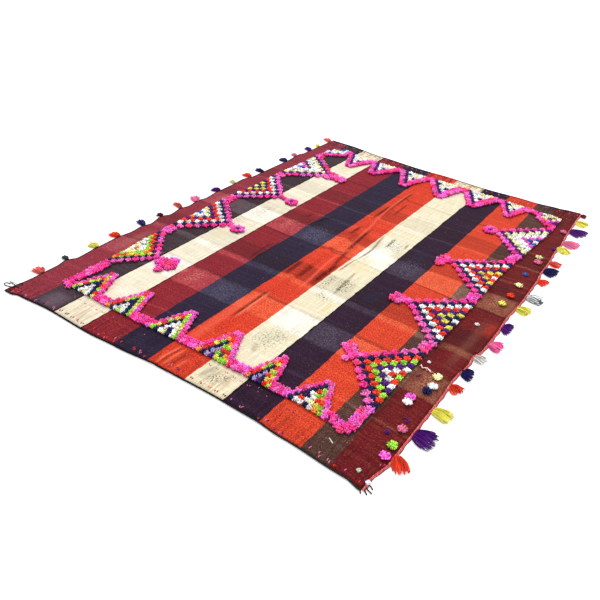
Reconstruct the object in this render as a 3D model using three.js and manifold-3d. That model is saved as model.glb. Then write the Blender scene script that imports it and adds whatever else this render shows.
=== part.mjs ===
// A jajim: a flat-woven wool rug in eleven warp stripes, lying flat on a floor, with a knotted pile
// border, corded edges and ends, and tassels sewn along both sides. Millimetres, +Z up. While it is
// made, X runs across the stripes from the left edge and Y runs along them from the front end.

import * as THREE from "three";
import { mergeVertices } from "three/addons/utils/BufferGeometryUtils.js";
import Module from "manifold-3d";

const wasm = await Module();
wasm.setup();

// Driving dimensions
const WIDTH = 1350; // across the stripes
const LENGTH = 2050; // along the stripes
const CLOTH = 2.5; // thickness of the woven ground
const GAP = 0.3; // clearance between pieces that touch
const FOLD_FADE = 70; // length over which a fold sinks into the cloth at its ends

const CORD_SIDES = 6;
const SIDE_CORD = 3.5; // radius of the twisted cord on the right edge
const SELVEDGE_CORD = 2.5; // radius of the overcast left edge
const END_BINDING = 3.5; // radius of the overcast cord at each end

const PILE_HIGH = 16; // height of the pile over the cloth
const PILE_RIM = 8; // its height at the rim
const PILE_SHOULDER = 9; // width of the rounded rim
const PILE_LUMP = 0.22; // share of the height by which knots differ
const PILE_ACROSS = 4; // faces across the border
const LUMP_ROW = 33; // largest distance between rows of lumps
const SPLIT = 3; // gap where one stretch of the border ends and the next begins
const TAIL_WIDE = 32; // width of the band that ends in a knob

const HEAD = { long: 16, wide: 18, high: 14, sides: 6 }; // wound head of a side tassel
const HEAD_SPREAD = 0.45; // least width of a head, against its tassel's breadth
const FAN_BACK = 0.4; // how far behind its head a tassel's locks fan out from, against its breadth
const FAN_LOCKS = 5;
const FAN_FILL = 0.74; // share of a fan that its locks fill
const LOCK_ROOT = 0.7; // height of a lock at its root, against its height at its tip
const LOCK_HIGH = 14; // height of a tassel's middle lock
const LOCK_DROP = 1.5; // how much lower each next lock of a fan is
const HEAD_BELLY = 0.35; // how far below the middle of its dome a head is cut flat

// How far each edge stands out of the nominal rectangle, at places along it.
const LEFT_EDGE = [
  { at: 0, out: -6 },
  { at: 90, out: -11 },
  { at: 200, out: -6 },
  { at: 252, out: 4 },
  { at: 290, out: -13 },
  { at: 400, out: -4 },
  { at: 500, out: 0 },
  { at: 560, out: -6 },
  { at: 620, out: 0 },
  { at: 660, out: -10 },
  { at: 735, out: 6 },
  { at: 775, out: -9 },
  { at: 845, out: 1 },
  { at: 890, out: -8 },
  { at: 955, out: 0 },
  { at: 1000, out: -8 },
  { at: 1080, out: 0 },
  { at: 1180, out: 0 },
  { at: 1275, out: 6 },
  { at: 1340, out: -9 },
  { at: 1620, out: -9 },
  { at: 1740, out: 0 },
  { at: 1775, out: -10 },
  { at: 2050, out: -14 },
];
const RIGHT_EDGE = [
  { at: 0, out: -8 },
  { at: 50, out: -8 },
  { at: 110, out: 5 },
  { at: 450, out: 7 },
  { at: 530, out: 3 },
  { at: 630, out: 13 },
  { at: 675, out: 9 },
  { at: 725, out: 22 },
  { at: 860, out: 24 },
  { at: 960, out: 20 },
  { at: 1110, out: 28 },
  { at: 1280, out: 27 },
  { at: 1380, out: 20 },
  { at: 1450, out: 21 },
  { at: 1600, out: 14 },
  { at: 1645, out: 18 },
  { at: 1800, out: 9 },
  { at: 2000, out: 4 },
  { at: 2050, out: 6 },
];
const FRONT_EDGE = [
  { at: 0, out: 0 },
  { at: 30, out: 0 },
  { at: 60, out: -10 },
  { at: 200, out: -18 },
  { at: 380, out: -13 },
  { at: 500, out: -19 },
  { at: 650, out: -30 },
  { at: 850, out: -33 },
  { at: 1000, out: -29 },
  { at: 1100, out: -20 },
  { at: 1300, out: -7 },
  { at: 1350, out: 4 },
];
const BACK_EDGE = [
  { at: 0, out: -22 },
  { at: 100, out: -24 },
  { at: 330, out: -50 },
  { at: 550, out: -62 },
  { at: 700, out: -56 },
  { at: 900, out: -64 },
  { at: 1100, out: -50 },
  { at: 1150, out: -50 },
  { at: 1250, out: -36 },
  { at: 1300, out: -24 },
  { at: 1350, out: -18 },
];

// Columns of faces across the cloth and rows along it: closer together where it is folded.
const COLUMNS = [
  { to: 430, steps: 4 },
  { to: 520, steps: 5 },
  { to: 630, steps: 2 },
  { to: 810, steps: 10 },
  { to: WIDTH, steps: 5 },
];
const ROWS = [
  { to: 105, steps: 4 },
  { to: 240, steps: 2 },
  { to: 1240, steps: 16 },
  { to: LENGTH, steps: 9 },
];

// Soft folds of the cloth, each a ridge along a line.
const FOLDS = [
  { name: "storage fold", high: 5, half: 27, line: [[665, 240], [660, 900], [668, 1700]] },
  { name: "front ripple", high: 6, half: 24, line: [[632, 16], [656, 120]] },
  { name: "second front ripple", high: 4, half: 20, line: [[704, 16], [692, 120]] },
  { name: "maroon crease", high: 5, half: 22, line: [[468, 880], [474, 680]] },
  { name: "navy crease", high: 5, half: 22, line: [[512, 1220], [482, 990]] },
  { name: "cream crease", high: 5, half: 20, line: [[772, 1210], [794, 1050], [780, 860]] },
  { name: "orange crease", high: 4, half: 20, line: [[705, 1210], [718, 1000], [738, 690]] },
];

// The pile border, stretch by stretch. Each row gives a place along the side, the outer line of the
// border and its crest, which the pink zigzag follows; tails are knobs beyond the points.
const LEFT_PILE = [
  {
    rows: [
      { along: 150, outer: 107, crest: 142 },
      { along: 215, outer: 106, crest: 142 },
      { along: 290, outer: 106, crest: 148 },
      { along: 345, outer: 104, crest: 168 },
      { along: 440, outer: 100, crest: 228 },
      { along: 470, outer: 97, crest: 236 },
      { along: 530, outer: 92, crest: 216 },
      { along: 650, outer: 86, crest: 132 },
      { along: 690, outer: 84, crest: 120 },
    ],
    tail: { from: [205, 470], to: [292, 450], radius: 34 },
  },
  {
    rows: [
      { along: 690, outer: 84, crest: 120 },
      { along: 720, outer: 84, crest: 138 },
      { along: 800, outer: 83, crest: 225 },
      { along: 850, outer: 82, crest: 260 },
      { along: 890, outer: 80, crest: 242 },
      { along: 1010, outer: 77, crest: 126 },
      { along: 1060, outer: 76, crest: 110 },
    ],
    tail: { from: [230, 848], to: [300, 833], radius: 30 },
  },
  {
    rows: [
      { along: 1060, outer: 76, crest: 110 },
      { along: 1095, outer: 78, crest: 128 },
      { along: 1170, outer: 83, crest: 214 },
      { along: 1210, outer: 84, crest: 254 },
      { along: 1270, outer: 84, crest: 230 },
      { along: 1395, outer: 82, crest: 128 },
      { along: 1440, outer: 82, crest: 116 },
    ],
    tail: { from: [225, 1215], to: [311, 1198], radius: 30 },
  },
  {
    rows: [
      { along: 1440, outer: 82, crest: 116 },
      { along: 1500, outer: 85, crest: 220 },
      { along: 1560, outer: 85, crest: 290 },
      { along: 1600, outer: 85, crest: 290 },
      { along: 1672, outer: 86, crest: 225 },
      { along: 1748, outer: 86, crest: 140 },
      { along: 1785, outer: 82, crest: 116 },
    ],
    tail: { from: [260, 1585], to: [333, 1573], radius: 34 },
  },
];
const RIGHT_PILE = [
  {
    rows: [
      { along: 142, outer: 1237, crest: 1202 },
      { along: 250, outer: 1238, crest: 1202 },
      { along: 425, outer: 1240, crest: 1068 },
      { along: 590, outer: 1243, crest: 1204 },
      { along: 610, outer: 1244, crest: 1208 },
    ],
    tail: { from: [1098, 425], to: [1052, 430], radius: 38 },
  },
  {
    rows: [
      { along: 610, outer: 1244, crest: 1208 },
      { along: 642, outer: 1250, crest: 1204 },
      { along: 815, outer: 1255, crest: 1060 },
      { along: 962, outer: 1255, crest: 1206 },
      { along: 1000, outer: 1252, crest: 1216 },
    ],
    tail: { from: [1095, 812], to: [1028, 806], radius: 30 },
  },
  {
    rows: [
      { along: 1000, outer: 1252, crest: 1216 },
      { along: 1018, outer: 1256, crest: 1212 },
      { along: 1184, outer: 1258, crest: 1062 },
      { along: 1334, outer: 1266, crest: 1218 },
      { along: 1390, outer: 1274, crest: 1238 },
    ],
    tail: { from: [1095, 1184], to: [1038, 1172], radius: 30 },
  },
  {
    rows: [
      { along: 1390, outer: 1274, crest: 1238 },
      { along: 1408, outer: 1275, crest: 1232 },
      { along: 1566, outer: 1290, crest: 1108 },
      { along: 1740, outer: 1302, crest: 1252 },
      { along: 1760, outer: 1303, crest: 1264 },
    ],
    tail: { from: [1140, 1566], to: [1092, 1558], radius: 30 },
  },
];
const FRONT_PILE = {
  rows: [
    { along: 143, outer: 148, crest: 205 },
    { along: 202, outer: 147, crest: 290 },
    { along: 250, outer: 147, crest: 184 },
    { along: 292, outer: 147, crest: 182 },
    { along: 375, outer: 146, crest: 284 },
    { along: 425, outer: 146, crest: 182 },
    { along: 488, outer: 146, crest: 182 },
    { along: 563, outer: 146, crest: 293 },
    { along: 612, outer: 145, crest: 182 },
    { along: 678, outer: 145, crest: 182 },
    { along: 741, outer: 145, crest: 294 },
    { along: 792, outer: 144, crest: 181 },
    { along: 862, outer: 144, crest: 180 },
    { along: 924, outer: 142, crest: 294 },
    { along: 968, outer: 142, crest: 180 },
    { along: 1008, outer: 141, crest: 179 },
    { along: 1087, outer: 140, crest: 276 },
    { along: 1138, outer: 139, crest: 178 },
    { along: 1196, outer: 138, crest: 174 },
  ],
};
const BACK_PILE = {
  rows: [
    { along: 80, outer: 1818, crest: 1790 },
    { along: 110, outer: 1890, crest: 1790 },
    { along: 150, outer: 1942, crest: 1820 },
    { along: 200, outer: 1925, crest: 1866 },
    { along: 272, outer: 1908, crest: 1752 },
    { along: 347, outer: 1906, crest: 1872 },
    { along: 408, outer: 1906, crest: 1750 },
    { along: 507, outer: 1906, crest: 1872 },
    { along: 592, outer: 1906, crest: 1726 },
    { along: 662, outer: 1906, crest: 1872 },
    { along: 773, outer: 1906, crest: 1726 },
    { along: 842, outer: 1906, crest: 1872 },
    { along: 933, outer: 1906, crest: 1736 },
    { along: 1019, outer: 1904, crest: 1870 },
    { along: 1098, outer: 1902, crest: 1748 },
    { along: 1158, outer: 1900, crest: 1866 },
    { along: 1240, outer: 1896, crest: 1800 },
    { along: 1266, outer: 1895, crest: 1770 },
    { along: 1312, outer: 1890, crest: 1766 },
  ],
};

// Yarn colours, as seen
const YARN = {
  pink: 0xea3f9c,
  rose: 0xe8638f,
  coral: 0xe2504a,
  red: 0xe03a20,
  terracotta: 0xb5603c,
  maroon: 0x6a1f2c,
  yellow: 0xd9d24a,
  paleYellow: 0xe8e2a0,
  lime: 0x9ccf3a,
  purple: 0x5a2380,
  indigo: 0x2f2c78,
  navy: 0x1f2547,
  grey: 0x6f7a76,
  slate: 0x45504b,
  beige: 0xb8ad94,
  white: 0xeee9dc,
  black: 0x191517,
};

// Tassels along the sides, from front to back. Turn is in degrees towards the back end.
const LEFT_TASSELS = [
  { along: 140, reach: 44, breadth: 46, turn: 14, colour: YARN.coral },
  { along: 256, reach: 24, breadth: 26, turn: 10, colour: YARN.slate },
  { along: 382, reach: 40, breadth: 40, turn: 14, colour: YARN.yellow },
  { along: 492, reach: 40, breadth: 44, turn: 6, colour: YARN.red },
  { along: 622, reach: 52, breadth: 38, turn: 30, colour: YARN.indigo },
  { along: 732, reach: 22, breadth: 36, turn: 0, colour: YARN.maroon },
  { along: 838, reach: 58, breadth: 36, turn: 24, colour: YARN.terracotta },
  { along: 930, reach: 60, breadth: 44, turn: 42, colour: YARN.rose },
  { along: 1082, reach: 34, breadth: 50, turn: 5, colour: YARN.purple },
  { along: 1198, reach: 36, breadth: 32, turn: 20, colour: YARN.paleYellow },
  { along: 1308, reach: 44, breadth: 44, turn: 20, colour: YARN.red },
  { along: 1398, reach: 48, breadth: 40, turn: 18, colour: YARN.navy },
  { along: 1592, reach: 42, breadth: 48, turn: 24, colour: YARN.navy },
  { along: 1688, reach: 38, breadth: 34, turn: 34, colour: YARN.rose },
  { along: 1808, reach: 50, breadth: 40, turn: 44, colour: YARN.purple },
  { along: 1898, reach: 24, breadth: 28, turn: 14, colour: YARN.yellow },
  { along: 2000, reach: 58, breadth: 40, turn: 42, colour: YARN.coral },
];
const RIGHT_TASSELS = [
  { along: 143, reach: 64, breadth: 56, turn: -31, colour: YARN.red },
  { along: 248, reach: 64, breadth: 82, turn: -4, colour: YARN.purple },
  { along: 362, reach: 60, breadth: 60, turn: -4, colour: YARN.yellow },
  { along: 492, reach: 40, breadth: 50, turn: -20, colour: YARN.red },
  { along: 568, reach: 36, breadth: 64, turn: 10, colour: YARN.navy },
  { along: 668, reach: 38, breadth: 50, turn: -4, colour: YARN.beige },
  { along: 765, reach: 44, breadth: 74, turn: 0, colour: YARN.pink },
  { along: 888, reach: 32, breadth: 80, turn: 0, colour: YARN.purple },
  { along: 1036, reach: 48, breadth: 66, turn: -4, colour: YARN.yellow },
  { along: 1132, reach: 60, breadth: 70, turn: 8, colour: YARN.grey },
  { along: 1282, reach: 38, breadth: 56, turn: -16, colour: YARN.red },
  { along: 1382, reach: 52, breadth: 84, turn: -8, colour: YARN.navy },
  { along: 1458, reach: 44, breadth: 56, turn: -10, colour: YARN.coral },
  { along: 1618, reach: 60, breadth: 56, turn: -48, colour: YARN.yellow },
  { along: 1680, reach: 62, breadth: 84, turn: -6, colour: YARN.rose },
  { along: 1822, reach: 68, breadth: 96, turn: -16, colour: YARN.purple },
  { along: 1926, reach: 54, breadth: 76, turn: -6, colour: YARN.yellow },
  { along: 2014, reach: 24, breadth: 40, turn: 0, colour: YARN.maroon },
];

// Tufts sewn on the right-hand stripe; a second knot that touches the first is part of its tuft.
const TUFTS = [
  { at: [[1337, 166], [1338, 122]], colour: YARN.lime },
  { at: [[1330, 235]], colour: YARN.rose },
  { at: [[1294, 340], [1291, 364]], colour: YARN.grey },
  { at: [[1323, 448], [1318, 420]], colour: YARN.white },
  { at: [[1316, 496]], colour: YARN.yellow },
  { at: [[1330, 1022]], colour: YARN.yellow },
  { at: [[1336, 1094]], colour: YARN.red },
  { at: [[1336, 1187]], colour: YARN.yellow },
  { at: [[1331, 1459], [1339, 1417]], colour: YARN.paleYellow },
  { at: [[1345, 1770]], colour: YARN.rose },
];

// A surface tuft's knot and the locks round it, the knob that ends a tail, and the locks at a point.
const TUFT_HEAD = { long: 20, wide: 20, high: 16, sides: 6 };
const TUFT_LOCKS = { count: 4, start: 5, reach: 16, wide: 9, high: 10 };
const KNOB_SIDES = 8;
const KNOB_LOCKS = { count: 5, fan: 150, root: 0.6, overhang: 9, wide: 16, high: 9 };
const CREST_LOCKS = { turns: [-32, 32], sunk: 19, start: 8, reach: 27, wide: 12, high: 9 };
const TIE = { wide: 9, high: 10 }; // yarn between two knots of one tuft

const WOOL = { roughness: 0.95, metalness: 0 };

// A number that looks random but is the same each time, from 0 to 1.
function unevenness(i, j) {
  return 0.5 + 0.5 * Math.sin(12.9898 * i + 78.233 * j);
}

// The geometry with only its positions, shared points merged.
function closed(geometry) {
  geometry.deleteAttribute("normal");
  geometry.deleteAttribute("uv");
  return mergeVertices(geometry);
}

// Moves each point of a geometry to where place(x, y, z) says.
function bend(geometry, place) {
  const position = geometry.getAttribute("position");
  for (let k = 0; k < position.count; k++) {
    const to = place(position.getX(k), position.getY(k), position.getZ(k));
    position.setXYZ(k, to.x, to.y, to.z);
  }
  return closed(geometry);
}

// Joins closed geometries into one.
function join(geometries) {
  const solids = geometries.map((geometry) => {
    const vertProperties = new Float32Array(geometry.getAttribute("position").array);
    const triVerts = new Uint32Array(geometry.index.array);
    return new wasm.Manifold(new wasm.Mesh({ numProp: 3, vertProperties, triVerts }));
  });
  const mesh = solids.reduce((whole, solid) => whole.add(solid)).getMesh();
  return new THREE.BufferGeometry()
    .setAttribute("position", new THREE.BufferAttribute(mesh.vertProperties, 3))
    .setIndex(new THREE.BufferAttribute(mesh.triVerts, 1));
}

// How far an edge stands out at a place along it.
function outAt(edge, at) {
  const next = Math.max(1, edge.findIndex((row) => row.at >= at));
  const [a, b] = [edge[next - 1], edge[next]];
  return THREE.MathUtils.lerp(a.out, b.out, THREE.MathUtils.smoothstep(at, a.at, b.at));
}

// Where a point of the nominal rectangle lies on the real rug.
function onRug(x, y) {
  const across = THREE.MathUtils.lerp(-outAt(LEFT_EDGE, y), WIDTH + outAt(RIGHT_EDGE, y), x / WIDTH);
  const along = THREE.MathUtils.lerp(-outAt(FRONT_EDGE, x), LENGTH + outAt(BACK_EDGE, x), y / LENGTH);
  return { x: across, y: along };
}

// The distance from a point to a line of several legs, and how far along the line its foot lies.
function footOn(line, x, y) {
  const point = new THREE.Vector3(x, y, 0);
  const foot = new THREE.Vector3();
  let passed = 0;
  const best = { distance: Infinity, along: 0, length: 0 };
  line.slice(1).forEach((end, k) => {
    const leg = new THREE.Line3(new THREE.Vector3(...line[k], 0), new THREE.Vector3(...end, 0));
    const share = leg.closestPointToPointParameter(point, true);
    const distance = leg.at(share, foot).distanceTo(point);
    if (distance < best.distance) {
      best.distance = distance;
      best.along = passed + share * leg.distance();
    }
    passed += leg.distance();
  });
  best.length = passed;
  return best;
}

// How high the cloth is lifted off the floor by its folds.
function lift(x, y) {
  const heights = FOLDS.map(({ high, half, line }) => {
    const { distance, along, length } = footOn(line, x, y);
    if (distance >= half) return 0;
    const fromEnd = Math.min(along, length - along);
    const fade = THREE.MathUtils.smoothstep(fromEnd, 0, Math.min(FOLD_FADE, length / 2));
    return 0.5 * high * fade * (1 + Math.cos((Math.PI * distance) / half));
  });
  return Math.max(...heights);
}

// The places that a table of spacings gives, from nought.
function placesOf(table) {
  const places = [0];
  for (const { to, steps } of table) {
    const from = places.at(-1);
    for (let k = 1; k <= steps; k++) places.push(THREE.MathUtils.lerp(from, to, k / steps));
  }
  return places;
}

const columns = placesOf(COLUMNS);
const rows = placesOf(ROWS);

// The place in a list for a coordinate of a unit box that has one face for each step of the list.
function pick(list, share) {
  return list[Math.round((share + 0.5) * (list.length - 1))];
}

// The woven cloth: a thin sheet, flat on the floor but for its folds.
function wovenGround() {
  const sheet = new THREE.BoxGeometry(1, 1, CLOTH, columns.length - 1, rows.length - 1, 1);
  return bend(sheet, (x, y, z) => {
    const at = onRug(pick(columns, x), pick(rows, y));
    return new THREE.Vector3(at.x, at.y, z + CLOTH / 2 + lift(at.x, at.y));
  });
}

// A cord along a side of the cloth, with a flat underside on the floor.
function sideCord(x, radius, outward) {
  const tube = new THREE.CylinderGeometry(1, 1, 1, CORD_SIDES, rows.length - 1);
  tube.rotateY(Math.PI / CORD_SIDES);
  const centre = radius * Math.cos(Math.PI / CORD_SIDES);
  return bend(tube, (across, along, up) => {
    const edge = onRug(x, pick(rows, along));
    const offset = outward * (GAP + radius) + across * radius;
    return new THREE.Vector3(edge.x + offset, edge.y, centre + up * radius);
  });
}

// A cord along an end of the cloth.
function endBinding(y, outward) {
  const tube = new THREE.CylinderGeometry(1, 1, 1, CORD_SIDES, columns.length - 1);
  tube.rotateY(Math.PI / CORD_SIDES);
  const centre = END_BINDING * Math.cos(Math.PI / CORD_SIDES);
  return bend(tube, (across, along, up) => {
    const edge = onRug(pick(columns, -along), y);
    const offset = outward * (GAP + END_BINDING) + across * END_BINDING;
    return new THREE.Vector3(edge.x, edge.y + offset, centre + up * END_BINDING);
  });
}

// A row part of the way from one row to another.
function between(a, b, share) {
  return {
    along: THREE.MathUtils.lerp(a.along, b.along, share),
    outer: THREE.MathUtils.lerp(a.outer, b.outer, share),
    crest: THREE.MathUtils.lerp(a.crest, b.crest, share),
  };
}

// Rows of a stretch of the border close enough for its lumps, with its rim at both ends.
function knotRows(table) {
  const list = [table[0]];
  table.slice(1).forEach((end, k) => {
    const start = table[k];
    const steps = Math.ceil((end.along - start.along) / LUMP_ROW);
    for (let s = 1; s <= steps; s++) list.push(between(start, end, s / steps));
  });
  const [first, second] = list;
  const [last, beforeLast] = [list.at(-1), list.at(-2)];
  const ends = {
    first: between(first, second, SPLIT / 2 / (second.along - first.along)),
    afterFirst: between(first, second, PILE_SHOULDER / (second.along - first.along)),
    beforeLast: between(last, beforeLast, PILE_SHOULDER / (last.along - beforeLast.along)),
    last: between(last, beforeLast, SPLIT / 2 / (last.along - beforeLast.along)),
  };
  return [ends.first, ends.afterFirst, ...list.slice(1, -1), ends.beforeLast, ends.last];
}

// A lumpy slab of pile between the outer line and the crest. On a side it runs along Y, at an end along X.
function pileSlab(table, onSide) {
  const list = knotRows(table);
  const steps = list.length - 1;
  const slab = onSide
    ? new THREE.BoxGeometry(1, 1, 1, PILE_ACROSS, steps, 1)
    : new THREE.BoxGeometry(1, 1, 1, steps, PILE_ACROSS, 1);
  return bend(slab, (x, y, z) => {
    const [alongShare, acrossShare] = onSide ? [y, x] : [x, y];
    const i = Math.round((alongShare + 0.5) * steps);
    const j = Math.round((acrossShare + 0.5) * PILE_ACROSS);
    const row = list[i];
    const [low, high] = [Math.min(row.outer, row.crest), Math.max(row.outer, row.crest)];
    const shoulder = Math.min(PILE_SHOULDER, (high - low) / 4);
    const inner = THREE.MathUtils.lerp(low + shoulder, high - shoulder, (j - 1) / (PILE_ACROSS - 2));
    const across = j === 0 ? low : j === PILE_ACROSS ? high : inner;
    const atRim = j === 0 || j === PILE_ACROSS || i === 0 || i === steps;
    const top = atRim ? PILE_RIM : PILE_HIGH * (1 - PILE_LUMP * unevenness(i, j));
    const up = CLOTH + GAP + (z > 0 ? top : 0);
    return onSide ? new THREE.Vector3(across, row.along, up) : new THREE.Vector3(row.along, across, up);
  });
}

// A low dome with a flat underside and an upright rim: a wound head or a knot, from the origin along +X.
function dome({ long, wide, high, sides }) {
  const rim = Math.sin(Math.PI / 3); // radius of both rings of a unit sphere of three bands
  return bend(new THREE.SphereGeometry(1, sides, 3), (x, y, z) => {
    const up = Math.max(0, (y + HEAD_BELLY) / (1 + HEAD_BELLY));
    return new THREE.Vector3(((1 + x / rim) * long) / 2, (-z / rim) * (wide / 2), up * high);
  });
}

// A three-sided lock of yarn, level underneath, along +X and wider the further it is from the origin.
function lock({ start, reach, wide, high }) {
  const section = new THREE.Shape([
    new THREE.Vector2(-0.5, 0),
    new THREE.Vector2(0.5, 0),
    new THREE.Vector2(0, 1),
  ]);
  const prism = new THREE.ExtrudeGeometry(section, { depth: 1, steps: 1, bevelEnabled: false });
  return bend(prism, (side, up, share) => {
    const out = THREE.MathUtils.lerp(start, reach, share);
    const thick = THREE.MathUtils.lerp(LOCK_ROOT, 1, share);
    return new THREE.Vector3(out, (side * wide * out) / reach, up * high * thick);
  });
}

// A side tassel lying on the floor: a wound head and a fan of locks.
function tassel({ along, reach, breadth, turn }, outward) {
  const back = FAN_BACK * breadth;
  const fan = reach + back;
  const step = (2 * Math.atan(breadth / 2 / fan)) / FAN_LOCKS;
  const pieces = [dome({ ...HEAD, wide: Math.max(HEAD.wide, HEAD_SPREAD * breadth) })];
  for (let k = 0; k < FAN_LOCKS; k++) {
    const fromMiddle = k - (FAN_LOCKS - 1) / 2;
    const high = LOCK_HIGH - LOCK_DROP * Math.abs(fromMiddle);
    const start = back + HEAD.long / 2;
    const strand = lock({ start, reach: fan, wide: FAN_FILL * step * fan, high });
    pieces.push(strand.rotateZ(fromMiddle * step).translate(-back, 0, 0));
  }
  const heading = outward > 0 ? turn : 180 - turn;
  const made = join(pieces).rotateZ(THREE.MathUtils.degToRad(heading)).translate(0, along, 0);
  return seatBeside(made, outward);
}

// The outer face of a side cord at a place along it.
function cordFace(outward, y) {
  const [x, radius] = outward > 0 ? [WIDTH, SIDE_CORD] : [0, SELVEDGE_CORD];
  const edge = rows.map((row) => onRug(x, row));
  const next = edge.findIndex((point) => point.y >= y);
  const k = next < 0 ? rows.length - 1 : Math.max(1, next);
  const share = (y - edge[k - 1].y) / (edge[k].y - edge[k - 1].y);
  return THREE.MathUtils.lerp(edge[k - 1].x, edge[k].x, share) + outward * (GAP + 2 * radius);
}

// Slides a tassel across until its nearest point lies GAP from the cord.
function seatBeside(geometry, outward) {
  const position = geometry.getAttribute("position");
  let nearest = Infinity;
  for (let k = 0; k < position.count; k++) {
    const clearance = outward * (position.getX(k) - cordFace(outward, position.getY(k)));
    nearest = Math.min(nearest, clearance);
  }
  return geometry.translate(outward * (GAP - nearest), 0, 0);
}

// A surface tuft: one knot or two, with short locks round each.
function tuft({ at }) {
  const pieces = at.flatMap(([x, y]) => {
    const knot = [dome(TUFT_HEAD).translate(-TUFT_HEAD.long / 2, 0, 0)];
    for (let k = 0; k < TUFT_LOCKS.count; k++) {
      knot.push(lock(TUFT_LOCKS).rotateZ(((k + 0.5) * 2 * Math.PI) / TUFT_LOCKS.count));
    }
    return knot.map((piece) => piece.translate(x, y, CLOTH + GAP));
  });
  if (at.length > 1) pieces.push(bar(at[0], at[1], TIE.wide, TIE.high));
  return join(pieces);
}

// A straight low bar of pile on the cloth from one point to another.
function bar(from, to, wide, high) {
  const [dx, dy] = [to[0] - from[0], to[1] - from[1]];
  const length = Math.hypot(dx, dy);
  const block = new THREE.BoxGeometry(length, wide, high).translate(length / 2, 0, high / 2);
  return closed(block.rotateZ(Math.atan2(dy, dx)).translate(from[0], from[1], CLOTH + GAP));
}

// The tail beyond a point of the border: a band that ends in a knob with locks round its rim.
function tail({ from, to, radius }) {
  const heading = Math.atan2(to[1] - from[1], to[0] - from[0]);
  const knob = dome({ long: 2 * radius, wide: 2 * radius, high: PILE_HIGH, sides: KNOB_SIDES });
  const pieces = [bar(from, to, TAIL_WIDE, PILE_HIGH * (1 - PILE_LUMP))];
  pieces.push(knob.translate(to[0] - radius, to[1], CLOTH + GAP));
  const { count, fan, root, overhang, wide, high } = KNOB_LOCKS;
  for (let k = 0; k < count; k++) {
    const angle = heading + THREE.MathUtils.degToRad(fan * (k / (count - 1) - 0.5));
    const strand = lock({ start: root * radius, reach: radius + overhang, wide, high });
    pieces.push(strand.rotateZ(angle).translate(to[0], to[1], CLOTH + GAP));
  }
  return pieces;
}

// Locks at the points of an end row. Towards is 1 where the points face the back end.
function crestLocks(table, towards) {
  const standsOut = (row, beside) => towards * (row.crest - beside.crest) > PILE_SHOULDER;
  const points = table.filter((row, k) => {
    const [before, after] = [table[k - 1], table[k + 1]];
    return before && after && standsOut(row, before) && standsOut(row, after);
  });
  return points.flatMap(({ along, crest }) =>
    CREST_LOCKS.turns.map((turn) => {
      const heading = THREE.MathUtils.degToRad(90 * towards + turn);
      const root = crest - towards * CREST_LOCKS.sunk;
      return lock(CREST_LOCKS).rotateZ(heading).translate(along, root, CLOTH + GAP);
    }),
  );
}

const rug = new THREE.Group();

// Adds a piece of the rug in its yarn colour.
function add(name, geometry, colour) {
  const material = new THREE.MeshStandardMaterial({ color: colour, flatShading: true, ...WOOL });
  const mesh = new THREE.Mesh(geometry, material);
  mesh.name = name;
  rug.add(mesh);
}

add("woven_ground", wovenGround(), YARN.maroon);
add("right_side_cord", sideCord(WIDTH, SIDE_CORD, 1), YARN.coral);
add("left_side_cord", sideCord(0, SELVEDGE_CORD, -1), YARN.black);
add("front_end_binding", endBinding(0, -1), YARN.black);
add("back_end_binding", endBinding(LENGTH, 1), YARN.black);
LEFT_PILE.forEach((stretch, k) => {
  add(`pile_left_${k + 1}`, join([pileSlab(stretch.rows, true), ...tail(stretch.tail)]), YARN.pink);
});
RIGHT_PILE.forEach((stretch, k) => {
  add(`pile_right_${k + 1}`, join([pileSlab(stretch.rows, true), ...tail(stretch.tail)]), YARN.pink);
});
add("pile_front", join([pileSlab(FRONT_PILE.rows, false), ...crestLocks(FRONT_PILE.rows, 1)]), YARN.pink);
add("pile_back", join([pileSlab(BACK_PILE.rows, false), ...crestLocks(BACK_PILE.rows, -1)]), YARN.pink);
LEFT_TASSELS.forEach((row, k) => add(`tassel_left_${k + 1}`, tassel(row, -1), row.colour));
RIGHT_TASSELS.forEach((row, k) => add(`tassel_right_${k + 1}`, tassel(row, 1), row.colour));
TUFTS.forEach((row, k) => add(`tuft_${k + 1}`, tuft(row), row.colour));

// The origin is on the floor, under the middle of the whole rug with its tassels.
const box = new THREE.Box3().setFromObject(rug);
const middle = box.getCenter(new THREE.Vector3());
rug.position.set(-middle.x, -middle.y, -box.min.z);

export default rug;
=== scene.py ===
"""A jajim: a flat-woven wool rug in eleven warp stripes, with a pile border, corded edges and tassels.

Sizes are millimetres of the rug: x runs across the stripes from the left edge, y along them from the
front end, z up from the floor. RugFrame turns them into metres of the frame.
"""

import logging
import math
from dataclasses import asdict, dataclass, field
from enum import Enum
from typing import NamedTuple, Sequence, Union

import bpy
import numpy as np
from mathutils import Matrix, Vector


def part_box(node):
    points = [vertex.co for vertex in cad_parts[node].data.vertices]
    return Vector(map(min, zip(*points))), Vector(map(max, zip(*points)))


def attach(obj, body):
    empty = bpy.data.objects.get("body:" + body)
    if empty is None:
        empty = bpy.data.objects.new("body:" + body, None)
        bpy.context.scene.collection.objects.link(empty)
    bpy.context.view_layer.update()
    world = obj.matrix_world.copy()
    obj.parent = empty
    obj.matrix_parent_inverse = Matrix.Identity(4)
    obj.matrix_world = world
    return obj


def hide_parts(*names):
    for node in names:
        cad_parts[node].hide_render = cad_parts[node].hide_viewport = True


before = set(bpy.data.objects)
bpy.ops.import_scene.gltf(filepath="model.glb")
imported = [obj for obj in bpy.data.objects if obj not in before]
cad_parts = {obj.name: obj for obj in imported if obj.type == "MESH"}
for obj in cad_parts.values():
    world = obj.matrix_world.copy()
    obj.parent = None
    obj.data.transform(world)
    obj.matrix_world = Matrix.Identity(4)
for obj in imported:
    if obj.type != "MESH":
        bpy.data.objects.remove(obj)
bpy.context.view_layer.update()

LOG = logging.getLogger("jajim")
BODY = "root"
SEED = 7

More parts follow.
